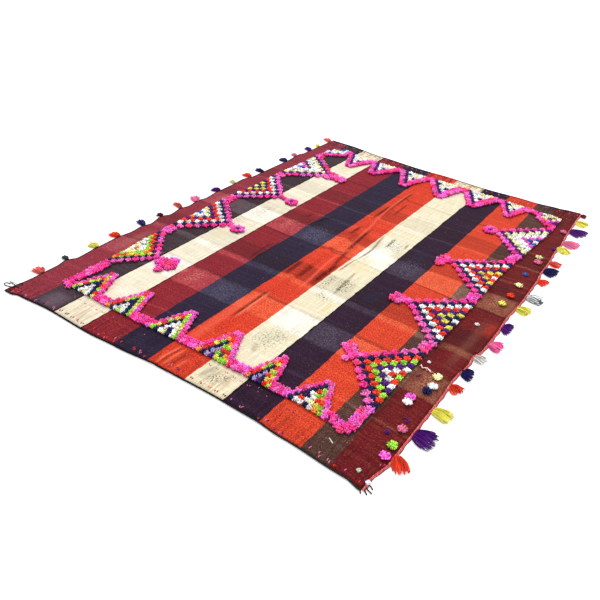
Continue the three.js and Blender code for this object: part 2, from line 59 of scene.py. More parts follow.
MM = 0.001
WIDTH = 1350.0  # across the stripes
LENGTH = 2050.0  # along the stripes
CLOTH = 2.5  # thickness of the woven ground
GAP = 0.3  # clearance between pieces that touch
SPLIT = 3.0  # gap where one stretch of the border ends and the next begins
FOLD_FADE = 70.0  # length over which a fold sinks into the cloth at its ends
SIDE_CORD = 3.5  # radius of the twisted cord on the right edge
SELVEDGE_CORD = 2.5  # radius of the overcast left edge
END_BINDING = 3.5  # radius of the overcast cord at each end
KNOT_SHADES = (0.86, 1.14)  # darkest and lightest knot against its yarn's colour
GOLDEN_ANGLE = math.pi * (3 - math.sqrt(5))

Socket = bpy.types.NodeSocket
Material = bpy.types.Material
Mesh = bpy.types.Mesh
Piece = bpy.types.Object
Chance = np.random.Generator
Spot = tuple[float, float]
Triple = tuple[float, float, float]
Colour = tuple[float, float, float, float]
Value = Union["Term", float, int, bool, str, tuple, list, Material, None]


class Yarn(Enum):
    """The colours of the rug's yarns as seen, sRGB."""

    PINK = 0xFF50B0
    HOT_PINK = 0xFF78CC
    MAGENTA = 0xFF369E
    ORCHID = 0xFF6EE0
    HOT_ROSE = 0xFF4A84
    ROSE = 0xF47CA8
    CORAL = 0xF06A64
    CHERRY = 0xD4505A
    PALE_CORAL = 0xF08C86
    RED = 0xFA4424
    TERRACOTTA = 0xB5603C
    OXBLOOD = 0x4A161E
    MAROON = 0x6A1F2C
    ORANGE = 0xFFA044
    YELLOW = 0xF2EA60
    PALE_YELLOW = 0xFBF6B8
    LIME = 0xB0EE50
    PURPLE = 0x5A1882
    LILAC = 0xC0A6DC
    INDIGO = 0x2C2A78
    BLUE = 0x3C63B4
    NAVY = 0x1C1A58
    GREY = 0x747A80
    SLATE = 0x45504B
    PALE_GREEN = 0xC8DCC0
    BEIGE = 0xBCB0A0
    WHITE = 0xFFFFFF
    BLACK = 0x1A161A


class Side(Enum):
    """The side of the rug that a stretch of the border runs along."""

    LEFT = "left"
    RIGHT = "right"
    FRONT = "front"
    BACK = "back"

    @property
    def along_y(self) -> bool:
        """Returns whether the side runs along the stripes."""
        return self in (Side.LEFT, Side.RIGHT)


class Edge(NamedTuple):
    """How far an edge stands out of the nominal rectangle at one place along it."""

    at: float
    out: float


class Stripe(NamedTuple):
    """A warp stripe: its right boundary on the loom and as it lies, its colours, and its dark edge line."""

    name: str
    to: float
    front: float
    middle: float
    back: float
    fresh: int
    worn: int
    line: float = 0.0
    line_colour: int = 0


class Band(NamedTuple):
    """A weft band of the cloth that differs from the rest; soft is the width over which it fades."""

    start: float
    end: float
    wear: float
    soft: float


class Fold(NamedTuple):
    """A ridge (or, where high is under nought, a groove) of the cloth along a line."""

    high: float
    half: float
    line: Sequence[Spot]


class Mark(NamedTuple):
    """A stain along a line, or a crease's dark or light line that paints its dirt together with its shade and
    highlight.
    """

    colour: int
    strength: float
    half: float
    line: Sequence[Spot]


class PileRow(NamedTuple):
    """Where the border's outer line and its crest lie at one place along a side."""

    along: float
    outer: float
    crest: float


class Tail(NamedTuple):
    """A knob beyond a point of the border: the knots leading to it, and its ring's middle and half sizes."""

    neck: Sequence[Spot]
    middle: Spot = (0.0, 0.0)
    half: Spot = (0.0, 0.0)
    centre: Yarn = Yarn.PINK


class Motif(NamedTuple):
    """A triangle of knots: the ends and the middle of its base row, its point, and its rings of colours.

    The rings lie within the pink one. Far holds those of its high side, where they differ.
    """

    low: float
    core: float
    high: float
    point: float
    rings: Sequence[Sequence[Yarn]]
    far: Sequence[Sequence[Yarn]] = ()


class Stretch(NamedTuple):
    """One stretch of the pile border: its node, where it starts and ends along its side, and its motifs."""

    node: str
    side: Side
    start: float
    end: float
    motifs: Sequence[Motif]
    tail: Tail | None = None


class Patch(NamedTuple):
    """A corner where the back row starts or ends, filled with knots of mixed yarns."""

    start: float
    end: float
    yarns: Sequence[Yarn]


class Knot(NamedTuple):
    """One cut-pile knot of the border or of a tuft, with its width across the rug and along it."""

    x: float
    y: float
    size: float
    yarn: Yarn
    wide: float = 20.0
    deep: float = 20.0


class Tassel(NamedTuple):
    """A side tassel; turn is in degrees towards the back end."""

    along: float
    reach: float
    breadth: float
    turn: float
    yarn: Yarn
    streak: Yarn | None = None


class Stray(NamedTuple):
    """A yarn that lies loose on the cloth or beside it, and how far above the cloth."""

    line: Sequence[Spot]
    yarn: Yarn
    radius: float = 1.8
    high: float = 0.0


class Tuft(NamedTuple):
    """A surface tuft: the places of its knots, the yarn of its slot and the yarns of its knots."""

    at: Sequence[Spot]
    slot: Yarn
    yarns: Sequence[Yarn]


def table(row: type, lines: Sequence[tuple]) -> list:
    """Returns the lines of a table as rows with named columns."""
    return [row(*line) for line in lines]


LEFT_EDGE = table(Edge, [
    (0, -6), (90, -11), (200, -6), (252, 4), (290, -13), (400, -4), (500, 0), (560, -6), (620, 0),
    (660, -10), (735, 6), (775, -9), (845, 1), (890, -8), (955, 0), (1000, -8), (1080, 0), (1180, 0),
    (1275, 6), (1340, -9), (1620, -9), (1740, 0), (1775, -10), (2050, -14),
])
RIGHT_EDGE = table(Edge, [
    (0, -8), (50, -8), (110, 5), (450, 7), (530, 3), (630, 13), (675, 9), (725, 22), (860, 24), (960, 20),
    (1110, 28), (1280, 27), (1380, 20), (1450, 21), (1600, 14), (1645, 18), (1800, 9), (2000, 4), (2050, 6),
])
FRONT_EDGE = table(Edge, [
    (0, 0), (30, 0), (60, -10), (200, -18), (380, -13), (500, -19), (650, -30), (850, -33), (1000, -29),
    (1100, -20), (1300, -7), (1350, 4),
])
BACK_EDGE = table(Edge, [
    (0, -22), (100, -24), (330, -50), (550, -62), (700, -56), (900, -64), (1100, -50), (1150, -50),
    (1250, -36), (1300, -24), (1350, -18),
])

STRIPES = table(Stripe, [
    ("maroon", 110, 110, 120, 106, 0x92303E, 0xAC4A56),
    ("brown black", 212, 215, 215, 213, 0x43343A, 0x64545A, 3, 0x16100F),
    ("cream", 342, 345, 345, 343, 0xF8EED4, 0xFEFAEE, 3, 0x5A1A20),
    ("second maroon", 472, 475, 480, 480, 0x8E222C, 0xBC4850),
    ("navy", 602, 605, 615, 617, 0x2C2038, 0x464058),
    ("orange red", 747, 750, 760, 762, 0xDF4028, 0xF16440),
    ("second cream", 887, 890, 900, 907, 0xF7ECCA, 0xFFFCF2, 3, 0x17121A),
    ("second navy", 1012, 1015, 1025, 1029, 0x30182E, 0x4A3C4E),
    ("second orange red", 1147, 1150, 1165, 1162, 0xDE452A, 0xEE6844),
    ("brown", 1237, 1240, 1250, 1246, 0x583A32, 0x8E6C5C),
    ("third maroon", 1350, 1350, 1380, 1370, 0x70161C, 0x945A44),
])

PALE_BANDS = table(Band, [  # weft bands that wear has left lighter
    (230, 238, 0.75, 4), (400, 521, 0.9, 6), (660, 690, 0.8, 5), (969, 1088, 0.95, 6),
    (1211, 1219, 0.85, 4), (1361, 1369, 0.9, 4), (1501, 1509, 0.85, 4),
])
DARK_BANDS = table(Band, [  # and those that stayed darker, the narrow ones being lines of dirt at a fold
    (522, 530, 0.9, 4), (697, 800, 0.4, 12), (957, 963, 1.0, 4), (1095, 1160, 0.35, 10),
    (1380, 1496, 0.3, 10), (1640, 1646, 0.8, 4),
])

STEP_AT = 665.0  # the storage fold, past which the bands lie lower
STEP = 6.0  # by how much

FOLDS = table(Fold, [  # the storage fold, the two ripples of the front end and four creases beside the fold
    (5, 27, [(665, 240), (660, 900), (668, 1700)]), (6, 24, [(632, 16), (656, 120)]),
    (4, 20, [(704, 16), (692, 120)]), (5, 22, [(468, 880), (474, 680)]), (5, 22, [(512, 1220), (482, 990)]),
    (5, 20, [(772, 1210), (794, 1050), (780, 860)]), (4, 20, [(705, 1210), (718, 1000), (738, 690)]),
])
CREASES = table(Fold, [  # grooves and small wrinkles along those and on the other stripes
    (-4, 9, [(661, 340), (660, 560)]), (-4, 8, [(660, 1140), (661, 1210)]),
    (-4, 8, [(660, 1320), (659, 1480)]), (3, 8, [(671, 1330), (670, 1510)]),
    (3, 8, [(689, 1140), (690, 1260)]), (-3, 10, [(745, 880), (744, 710)]),
    (-3, 10, [(702, 1210), (722, 990)]), (2.5, 12, [(640, 1060), (632, 1200)]),
    (2.5, 12, [(700, 560), (716, 640)]), (3, 16, [(628, 700), (636, 820)]),
    (3, 13, [(560, 860), (556, 960)]), (-3, 9, [(517, 1215), (500, 1130), (476, 1040)]),
    (-3, 9, [(464, 850), (466, 700)]), (2.5, 14, [(425, 1180), (412, 1060)]),
    (2.5, 12, [(842, 690), (836, 820)]), (2.5, 12, [(826, 1210), (832, 1120)]),
    (2, 14, [(270, 620), (284, 760)]), (2.5, 16, [(70, 20), (96, 110)]),
    (2.5, 16, [(1180, 20), (1170, 110)]), (2, 16, [(1290, 560), (1310, 700)]),
    (2.5, 15, [(640, 1600), (652, 1840)]), (2, 15, [(1090, 640), (1100, 760)]),
])
WAVES = [(0.55, 310, 470), (0.4, 173, 260), (0.3, 97, 141)]  # low unevenness: amplitude, and length both ways
WAVE_RIM = 120.0  # distance from the cloth's edges over which the unevenness dies away

# stains, and along the creases and the front end's ripples dark and light lines that paint their dirt
# together with their shade and highlight
MARKS = table(Mark, [
    (0x4A0E0A, 0.92, 9, [(661, 345), (660, 555)]), (0xFF8468, 0.7, 6, [(672, 350), (670, 550)]),
    (0x480C08, 0.95, 14, [(699, 1213), (704, 1130), (712, 1050), (721, 972)]),
    (0x560E08, 0.92, 13, [(655, 1213), (655, 1115)]), (0x540C08, 0.92, 10, [(651, 1495), (655, 1305)]),
    (0x480A08, 0.92, 9, [(668, 1700), (667, 1500), (672, 1435)]),
    (0x641610, 0.75, 9, [(703, 1560), (707, 1400)]),
    (0xFA7056, 0.6, 7, [(660, 1700), (661, 1560), (664, 1450), (672, 1330), (688, 1210), (694, 1130),
                        (703, 1035)]),
    (0xFA6A54, 0.6, 8, [(705, 970), (708, 860), (715, 790), (723, 720), (730, 630)]),
    (0xEE6A4E, 0.45, 26, [(635, 140), (636, 500)]), (0xFF8A60, 0.7, 5, [(641, 34), (643, 140)]),
    (0x8A2814, 0.75, 5, [(651, 34), (652, 138)]), (0xFF8A60, 0.6, 5, [(659, 34), (662, 140)]),
    (0x7A2612, 0.7, 12, [(676, 40), (685, 134)]), (0xF4745A, 0.5, 7, [(700, 36), (704, 110)]),
    (0x8A2814, 0.6, 5, [(715, 34), (712, 90)]), (0x8A2814, 0.6, 5, [(626, 32), (622, 84)]),
    (0x6E7060, 0.55, 14, [(772, 66), (790, 132)]), (0x9A8E70, 0.45, 12, [(800, 70), (812, 128)]),
    (0x8C7C5C, 0.4, 9, [(832, 84), (846, 120)]), (0xE6A070, 0.55, 10, [(340, 432), (345, 486)]),
    (0xEBA890, 0.5, 9, [(270, 398), (286, 420)]), (0xB88A60, 0.5, 9, [(254, 212), (226, 290)]),
    # painted shadow of the right border's pile on the stripe beside it
    (0x3A1416, 0.6, 9, [(1254, 150), (1257, 420), (1264, 800)]),
    # the second mark: painted shadow on the cream stripe right of the fourth front motif
    (0x3A1E14, 0.7, 16, [(1312, 1812), (1318, 1892)]), (0x8E6A50, 0.5, 12, [(826, 250), (806, 290)]),
    (0x440A06, 0.95, 15, [(744, 890), (746, 790), (744, 692)]),
    (0x5E1208, 0.88, 9, [(724, 988), (736, 852)]), (0x500C08, 0.93, 15, [(630, 816), (634, 692)]),
    (0x5E1208, 0.88, 13, [(678, 816), (682, 696)]),
    (0x6A180E, 0.9, 5, [(606, 958), (680, 960), (752, 957)]),
    (0x9A3424, 0.45, 13, [(690, 1420), (700, 1320)]), (0x2E0C10, 0.85, 9, [(465, 850), (466, 700)]),
    (0x2E0C10, 0.8, 7, [(440, 1185), (428, 1120), (431, 1040)]),
    (0x0A0A12, 0.92, 10, [(516, 1212), (500, 1130), (476, 1042)]),
    (0xFFFFF8, 0.6, 62, [(830, 985), (828, 1185)]), (0xE6A060, 0.6, 5, [(765, 1300), (768, 1215)]),
    (0x6A4400, 0.98, 7, [(767, 1212), (776, 1150), (786, 1095), (791, 1045), (787, 990), (781, 945)]),
    (0x983E16, 0.95, 6, [(781, 950), (775, 895), (770, 832)]), (0xA83222, 0.9, 5, [(826, 864), (830, 816)]),
    (0x3E2E58, 0.85, 6, [(877, 1202), (884, 1158)]),
    (0x464A3A, 0.85, 8, [(830, 820), (836, 752), (841, 690)]),
    (0x464A3A, 0.8, 9, [(816, 1212), (821, 1122)]), (0xB0AC9A, 0.28, 30, [(800, 312), (856, 388)]),
    (0xB0A890, 0.4, 8, [(862, 530), (890, 536)]), (0xE6D27E, 0.5, 17, [(868, 566), (872, 632)]),
    (0xFFFDF2, 0.45, 50, [(816, 420), (820, 515)]), (0xE9D79C, 0.45, 40, [(815, 880), (818, 1010)]),
    (0xE8D7A8, 0.4, 34, [(268, 720), (272, 800)]), (0xFFFDF4, 0.7, 44, [(280, 455), (282, 520)]),
    (0xE2D2A0, 0.4, 30, [(280, 1650), (284, 1760)]), (0x23253E, 0.55, 42, [(950, 720), (955, 790)]),
    (0x23253E, 0.5, 42, [(955, 1110), (960, 1190)]), (0x3A1016, 0.5, 24, [(1310, 520), (1318, 528)]),
    (0xB8362A, 0.6, 24, [(1352, 800), (1354, 890)]), (0x7E687A, 0.5, 60, [(165, 20), (168, 110)]),
    (0x401020, 0.5, 44, [(1290, 705), (1300, 800)]), (0x401020, 0.45, 44, [(1290, 1110), (1300, 1180)]),
    (0x8E5A4A, 0.3, 22, [(1316, 560), (1330, 900)]), (0xB2766A, 0.3, 26, [(50, 420), (56, 620)]),
    (0xB2766A, 0.3, 22, [(60, 960), (52, 1100)]),
])
DOTS = table(Mark, [  # dirt in the weave that shows as dots
    (0x3A3C30, 0.9, 22, [(818, 1214), (826, 1112)]), (0x3A3C30, 0.75, 34, [(846, 1195), (862, 1105)]),
    (0x3A3C30, 0.9, 40, [(838, 812), (848, 700)]), (0x3A3C30, 0.8, 22, [(784, 800), (784, 690)]),
    (0x3A3C30, 0.7, 30, [(790, 660), (850, 640)]), (0x3A3C30, 0.6, 60, [(800, 280), (846, 400)]),
    (0x4A3E2A, 0.8, 30, [(790, 60), (850, 120)]), (0x3A3C30, 0.55, 26, [(262, 1000), (276, 1120)]),
    (0x5A5A48, 0.5, 24, [(240, 860), (246, 960)]), (0x8A90A4, 0.3, 64, [(548, 960), (548, 1100)]),
    (0x8A90A4, 0.2, 64, [(540, 395), (541, 525)]), (0x8A90A4, 0.28, 62, [(962, 960), (962, 1100)]),
    (0x8A90A4, 0.2, 62, [(953, 395), (953, 525)]), (0xC89A78, 0.6, 40, [(1300, 420), (1310, 505)]),
    (0xC89A78, 0.5, 40, [(1310, 985), (1316, 1075)]), (0xE0A090, 0.4, 40, [(408, 415), (410, 510)]),
    (0xE0A090, 0.4, 40, [(412, 980), (414, 1080)]),
])

PINK_FILL = ()  # no yarns of its own, so it takes the pinks of the zigzag
ORCHID_FILL = (Yarn.ORCHID,)
NAVY_FILL = (Yarn.NAVY,)
RED_FILL = (Yarn.RED,)
WHITE_FILL = (Yarn.WHITE,)
LIME_FILL = (Yarn.LIME,)
PURPLE_FILL = (Yarn.PURPLE,)
YELLOW_FILL = (Yarn.YELLOW,)
PALE_FILL = (Yarn.PALE_YELLOW,)
BLUE_FILL = (Yarn.BLUE,)
LEMON_FILL = (Yarn.PALE_YELLOW, Yarn.WHITE, Yarn.ORANGE)
LILAC_FILL = (Yarn.LILAC, Yarn.WHITE, Yarn.ORCHID)
SLATE_FILL = (Yarn.SLATE, Yarn.BLUE, Yarn.WHITE)
CITRUS_FILL = (Yarn.YELLOW, Yarn.LIME, Yarn.ORANGE, Yarn.YELLOW, Yarn.LIME, Yarn.RED)
FLAME_FILL = (Yarn.RED, Yarn.ORANGE, Yarn.YELLOW, Yarn.RED, Yarn.LIME)
SPRING_FILL = (Yarn.LIME, Yarn.PALE_YELLOW, Yarn.YELLOW, Yarn.LIME)
MINT_FILL = (Yarn.PALE_GREEN, Yarn.WHITE)
PURPLE_DOTS = (Yarn.PURPLE, Yarn.PURPLE, Yarn.NAVY)
CREAM_FILL = (Yarn.WHITE, Yarn.PALE_YELLOW, Yarn.WHITE, Yarn.WHITE, Yarn.NAVY)
SPOT_FILL = (Yarn.WHITE, Yarn.PALE_YELLOW, Yarn.WHITE, Yarn.BLUE, Yarn.WHITE, Yarn.NAVY)

PILE_ROWS = {
    Side.LEFT: table(PileRow, [
        (150, 107, 142), (215, 106, 142), (290, 106, 148), (345, 104, 168), (440, 100, 228), (470, 97, 236),
        (530, 92, 216), (650, 86, 132), (690, 84, 120), (720, 84, 138), (800, 83, 225), (850, 82, 260),
        (890, 80, 242), (1010, 77, 126), (1060, 76, 110), (1095, 78, 128), (1170, 83, 214), (1210, 84, 254),
        (1270, 84, 230), (1395, 82, 128), (1440, 82, 116), (1500, 85, 220), (1560, 85, 290), (1600, 85, 290),
        (1672, 86, 225), (1748, 86, 140), (1785, 82, 116),
    ]),
    Side.RIGHT: table(PileRow, [
        (142, 1237, 1202), (250, 1238, 1202), (425, 1240, 1068), (590, 1243, 1204), (610, 1244, 1208),
        (642, 1250, 1204), (815, 1255, 1060), (962, 1255, 1206), (1000, 1252, 1216), (1018, 1256, 1212),
        (1184, 1258, 1062), (1334, 1266, 1218), (1390, 1274, 1238), (1408, 1275, 1232), (1566, 1290, 1108),
        (1740, 1302, 1252), (1760, 1303, 1264),
    ]),
    Side.FRONT: table(PileRow, [
        (143, 136, 195), (202, 137, 292), (250, 137, 176), (292, 136, 173), (375, 136, 286), (425, 136, 174),
        (488, 137, 176), (563, 140, 295), (612, 143, 181), (678, 144, 181), (741, 144, 296), (792, 143, 181),
        (862, 143, 181), (924, 140, 296), (968, 139, 177), (1008, 141, 180), (1087, 140, 278),
        (1138, 134, 172), (1196, 125, 163),
    ]),
    Side.BACK: table(PileRow, [
        (80, 1818, 1790), (110, 1890, 1790), (150, 1942, 1820), (200, 1925, 1866), (272, 1908, 1752),
        (347, 1906, 1872), (408, 1906, 1750), (507, 1906, 1872), (592, 1906, 1726), (662, 1906, 1872),
        (773, 1906, 1726), (842, 1906, 1872), (933, 1906, 1736), (1019, 1904, 1870), (1098, 1902, 1748),
        (1158, 1900, 1866), (1240, 1896, 1800), (1266, 1895, 1770), (1312, 1890, 1766),
    ]),
}

LEFT_STRETCHES = table(Stretch, [
    ("pile_left_1", Side.LEFT, 150, 690,
     [Motif(325, 465, 632, 462,
            [NAVY_FILL, CITRUS_FILL, FLAME_FILL, SPRING_FILL, WHITE_FILL, LEMON_FILL, WHITE_FILL],
            [NAVY_FILL, RED_FILL, SPRING_FILL, WHITE_FILL, (Yarn.BLUE, Yarn.WHITE), PALE_FILL, WHITE_FILL])],
     Tail([(250, 458), (244, 472), (246, 445), (260, 474), (262, 446), (276, 490), (290, 496), (281, 405),
           (270, 424), (288, 412)], (294, 452), (20, 20), Yarn.HOT_ROSE)),
    ("pile_left_2", Side.LEFT, 690, 1060,
     [Motif(680, 848, 1016, 850,
            [NAVY_FILL, WHITE_FILL, RED_FILL, PURPLE_FILL, LEMON_FILL, WHITE_FILL, BLUE_FILL])],
     Tail([(272, 844)], (298, 838), (18, 20), Yarn.PURPLE)),
    ("pile_left_3", Side.LEFT, 1060, 1440,
     [Motif(1066, 1231, 1397, 1212,
            [NAVY_FILL, WHITE_FILL, RED_FILL, PURPLE_FILL, YELLOW_FILL, NAVY_FILL, PALE_FILL])],
     Tail([(267, 1208), (286, 1204)], (311, 1198), (19, 19), Yarn.PURPLE)),
    ("pile_left_4", Side.LEFT, 1440, 1785,
     [Motif(1426, 1592, 1757, 1580,
            [PURPLE_FILL, PALE_FILL, WHITE_FILL, WHITE_FILL, SLATE_FILL, LILAC_FILL, WHITE_FILL])],
     Tail([(276, 1548), (278, 1575), (274, 1606), (296, 1556), (298, 1580), (294, 1604), (312, 1578)],
          (333, 1573), (21, 23), Yarn.ORCHID)),
])
RIGHT_STRETCHES = table(Stretch, [
    ("pile_right_1", Side.RIGHT, 142, 610,
     [Motif(245, 416, 586, 425,
            [NAVY_FILL, RED_FILL, LIME_FILL, PURPLE_FILL, WHITE_FILL, RED_FILL, LIME_FILL])],
     Tail([(1088, 436), (1072, 430), (1055, 430), (1040, 440), (1025, 453), (1034, 470), (1052, 464),
           (1068, 412), (1058, 396), (1046, 452), (1064, 448)])),
    ("pile_right_2", Side.RIGHT, 610, 1000,
     [Motif(634, 800, 959, 815,
            [NAVY_FILL, WHITE_FILL, RED_FILL, PURPLE_FILL, YELLOW_FILL, NAVY_FILL, WHITE_FILL])],
     Tail([(1066, 804)], (1028, 805), (19, 20), Yarn.MAGENTA)),
    ("pile_right_3", Side.RIGHT, 1000, 1390,
     [Motif(1010, 1168, 1330, 1184,
            [NAVY_FILL, WHITE_FILL, RED_FILL, PURPLE_FILL, YELLOW_FILL, RED_FILL, MINT_FILL])],
     Tail([(1066, 1178)], (1038, 1171), (13, 36), Yarn.MAGENTA)),
    ("pile_right_4", Side.RIGHT, 1390, 1760,
     [Motif(1401, 1574, 1748, 1566,
            [PURPLE_FILL, PALE_FILL, WHITE_FILL, WHITE_FILL, ORCHID_FILL, BLUE_FILL, WHITE_FILL])],
     Tail([], (1091, 1557), (19, 25), Yarn.PURPLE)),
])
FRONT_RINGS = [CITRUS_FILL, NAVY_FILL, WHITE_FILL, PALE_FILL]
FRONT_SLOPE = [FLAME_FILL, NAVY_FILL, WHITE_FILL, PALE_FILL]
SPRING_RINGS = [FLAME_FILL, NAVY_FILL, WHITE_FILL, (Yarn.LIME, Yarn.YELLOW)]
SPRING_SLOPE = [SPRING_FILL, *SPRING_RINGS[1:]]
STREAKED_SLOPE = [SPRING_FILL, WHITE_FILL, NAVY_FILL, PALE_FILL]
LATE_RINGS = [FLAME_FILL, NAVY_FILL, (Yarn.WHITE, Yarn.LILAC), PURPLE_FILL]
LATE_SLOPE = [
    (Yarn.RED, Yarn.LIME, Yarn.ORANGE), (Yarn.LIME, Yarn.SLATE, Yarn.RED), (Yarn.LIME, Yarn.YELLOW),
    PURPLE_FILL,
]
NARROW_SLOPE = [CITRUS_FILL, (Yarn.RED, Yarn.YELLOW), NAVY_FILL, PURPLE_FILL]
LAST_RINGS = [
    (Yarn.LIME, Yarn.NAVY, Yarn.YELLOW, Yarn.NAVY), (Yarn.NAVY, Yarn.RED, Yarn.WHITE), WHITE_FILL, NAVY_FILL,
]
LAST_SLOPE = [
    (Yarn.LIME, Yarn.RED, Yarn.ORANGE, Yarn.LIME), FLAME_FILL, (Yarn.PALE_YELLOW, Yarn.WHITE), NAVY_FILL,
]
BACK_RINGS = [PURPLE_DOTS, CREAM_FILL, CREAM_FILL, PALE_FILL]
BACK_SLOPE = [PINK_FILL, *BACK_RINGS[1:]]
SPOTTED_RINGS = [PURPLE_DOTS, SPOT_FILL, CREAM_FILL, PALE_FILL]
FRONT_STRETCH = Stretch("pile_front", Side.FRONT, 143, 1196, table(Motif, [
    (148, 209, 266, 204, FRONT_RINGS, FRONT_SLOPE), (312, 370, 428, 376, SPRING_RINGS, SPRING_SLOPE),
    (501, 560, 619, 561, FRONT_RINGS, STREAKED_SLOPE), (683, 747, 811, 742, LATE_RINGS, LATE_SLOPE),
    (872, 918, 967, 921, LATE_RINGS, NARROW_SLOPE), (1013, 1079, 1145, 1085, LAST_RINGS, LAST_SLOPE),
]))
BACK_STRETCH = Stretch("pile_back", Side.BACK, 80, 1312, table(Motif, [
    (200, 272, 340, 272, SPOTTED_RINGS, BACK_SLOPE), (352, 425, 500, 408, SPOTTED_RINGS, BACK_SLOPE),
    (512, 590, 655, 592, BACK_RINGS, BACK_SLOPE), (668, 752, 834, 773, BACK_RINGS, BACK_SLOPE),
    (846, 930, 1012, 933, SPOTTED_RINGS, BACK_SLOPE), (1026, 1092, 1154, 1098, BACK_RINGS, BACK_SLOPE),
]))
CORNER_KNOTS = {  # pink knots that round off the front corners
    Side.FRONT: [(1172, 142), (1171, 160), (1189, 133), (1190, 152), (1206, 127), (1207, 146), (1222, 135)],
    Side.LEFT: [(114, 152), (130, 144), (132, 160), (146, 136)],
}
CORNER_PATCHES = table(Patch, [
    (88, 192, (Yarn.WHITE, Yarn.WHITE, Yarn.PALE_YELLOW, Yarn.WHITE, Yarn.SLATE, Yarn.WHITE, Yarn.BLUE)),
    (1206, 1304, (Yarn.YELLOW, Yarn.WHITE, Yarn.PURPLE, Yarn.YELLOW, Yarn.PALE_YELLOW, Yarn.PURPLE,
                  Yarn.ORCHID)),
])
ZIGZAG_PINKS = {  # the pinks of the zigzag, and how often each comes
    Yarn.PINK: 0.32, Yarn.HOT_PINK: 0.26, Yarn.MAGENTA: 0.14, Yarn.ORCHID: 0.15, Yarn.HOT_ROSE: 0.13,
}
BACK_BINDING = [  # the yarn that overcasts the back end, stripe by stripe
    Yarn.MAROON, Yarn.BLACK, Yarn.BEIGE, Yarn.OXBLOOD, Yarn.NAVY, Yarn.RED, Yarn.BEIGE, Yarn.NAVY, Yarn.RED,
    Yarn.BLACK, Yarn.OXBLOOD,
]
CREAM_STITCHES = [Yarn.TERRACOTTA, Yarn.OXBLOOD, Yarn.ORANGE, Yarn.TERRACOTTA]
DARK_STITCHES = [Yarn.ROSE, Yarn.RED, Yarn.PURPLE, Yarn.ROSE]

LEFT_TASSELS = table(Tassel, [
    (140, 44, 46, 14, Yarn.CORAL), (256, 24, 26, 10, Yarn.SLATE), (382, 40, 40, 14, Yarn.YELLOW),
    (492, 40, 44, 6, Yarn.RED), (622, 52, 38, 30, Yarn.INDIGO), (732, 22, 36, 0, Yarn.MAROON),
    (838, 58, 36, 24, Yarn.TERRACOTTA, Yarn.CORAL), (930, 60, 44, 42, Yarn.ROSE),
    (1082, 34, 50, 5, Yarn.PURPLE), (1198, 36, 32, 20, Yarn.PALE_YELLOW), (1308, 44, 44, 20, Yarn.RED),
    (1398, 48, 40, 18, Yarn.NAVY), (1592, 42, 48, 24, Yarn.NAVY, Yarn.INDIGO),
    (1688, 38, 34, 34, Yarn.ROSE), (1808, 50, 40, 44, Yarn.PURPLE), (1898, 24, 28, 14, Yarn.YELLOW),
    (2000, 58, 40, 42, Yarn.CORAL),
])
RIGHT_TASSELS = table(Tassel, [
    (143, 60, 50, -50, Yarn.RED), (248, 64, 82, -4, Yarn.PURPLE), (362, 60, 60, -4, Yarn.YELLOW),
    (492, 40, 50, -20, Yarn.RED), (568, 36, 64, 10, Yarn.NAVY), (668, 38, 50, -4, Yarn.BEIGE, Yarn.WHITE),
    (765, 44, 70, 0, Yarn.PINK, Yarn.ROSE), (888, 32, 80, 0, Yarn.PURPLE), (1036, 48, 66, -4, Yarn.YELLOW),
    (1132, 60, 70, 8, Yarn.GREY, Yarn.WHITE), (1282, 38, 56, -16, Yarn.RED), (1382, 52, 84, -8, Yarn.NAVY),
    (1458, 44, 56, -10, Yarn.RED, Yarn.CORAL), (1618, 60, 56, -48, Yarn.YELLOW),
    (1680, 62, 84, -6, Yarn.ROSE), (1822, 68, 96, -16, Yarn.PURPLE), (1926, 54, 76, -6, Yarn.YELLOW),
    (2014, 24, 40, 0, Yarn.MAROON),
])
TUFTS = table(Tuft, [
    ([(1337, 166), (1338, 122)], Yarn.LIME, (Yarn.LIME, Yarn.ORCHID)),
    ([(1330, 235)], Yarn.ROSE, (Yarn.ROSE,)),
    ([(1294, 340), (1291, 364)], Yarn.GREY, (Yarn.WHITE, Yarn.ORCHID)),
    ([(1323, 448), (1318, 420)], Yarn.WHITE, (Yarn.WHITE, Yarn.NAVY)),
    ([(1316, 496)], Yarn.YELLOW, (Yarn.PALE_YELLOW,)), ([(1330, 1022)], Yarn.YELLOW, (Yarn.YELLOW,)),
    ([(1336, 1094)], Yarn.RED, (Yarn.RED,)), ([(1336, 1187)], Yarn.YELLOW, (Yarn.PALE_YELLOW,)),
    ([(1331, 1459), (1339, 1417)], Yarn.PALE_YELLOW, (Yarn.PALE_YELLOW, Yarn.ROSE)),
    ([(1345, 1770)], Yarn.ROSE, (Yarn.ROSE,)),
])
SMALL_TUFTS = table(Knot, [
    (1358, 1580, 0.6, Yarn.PURPLE, 14, 14), (1330, 1288, 0.7, Yarn.BLUE, 16, 16),
    (1307, 842, 0.5, Yarn.WHITE, 13, 13), (1265, 550, 0.35, Yarn.WHITE, 9, 9),
    (1308, 42, 0.45, Yarn.PALE_GREEN, 10, 10), (1302, 204, 0.45, Yarn.PURPLE, 13, 13),
    (1346, 22, 0.5, Yarn.WHITE, 11, 11),
])
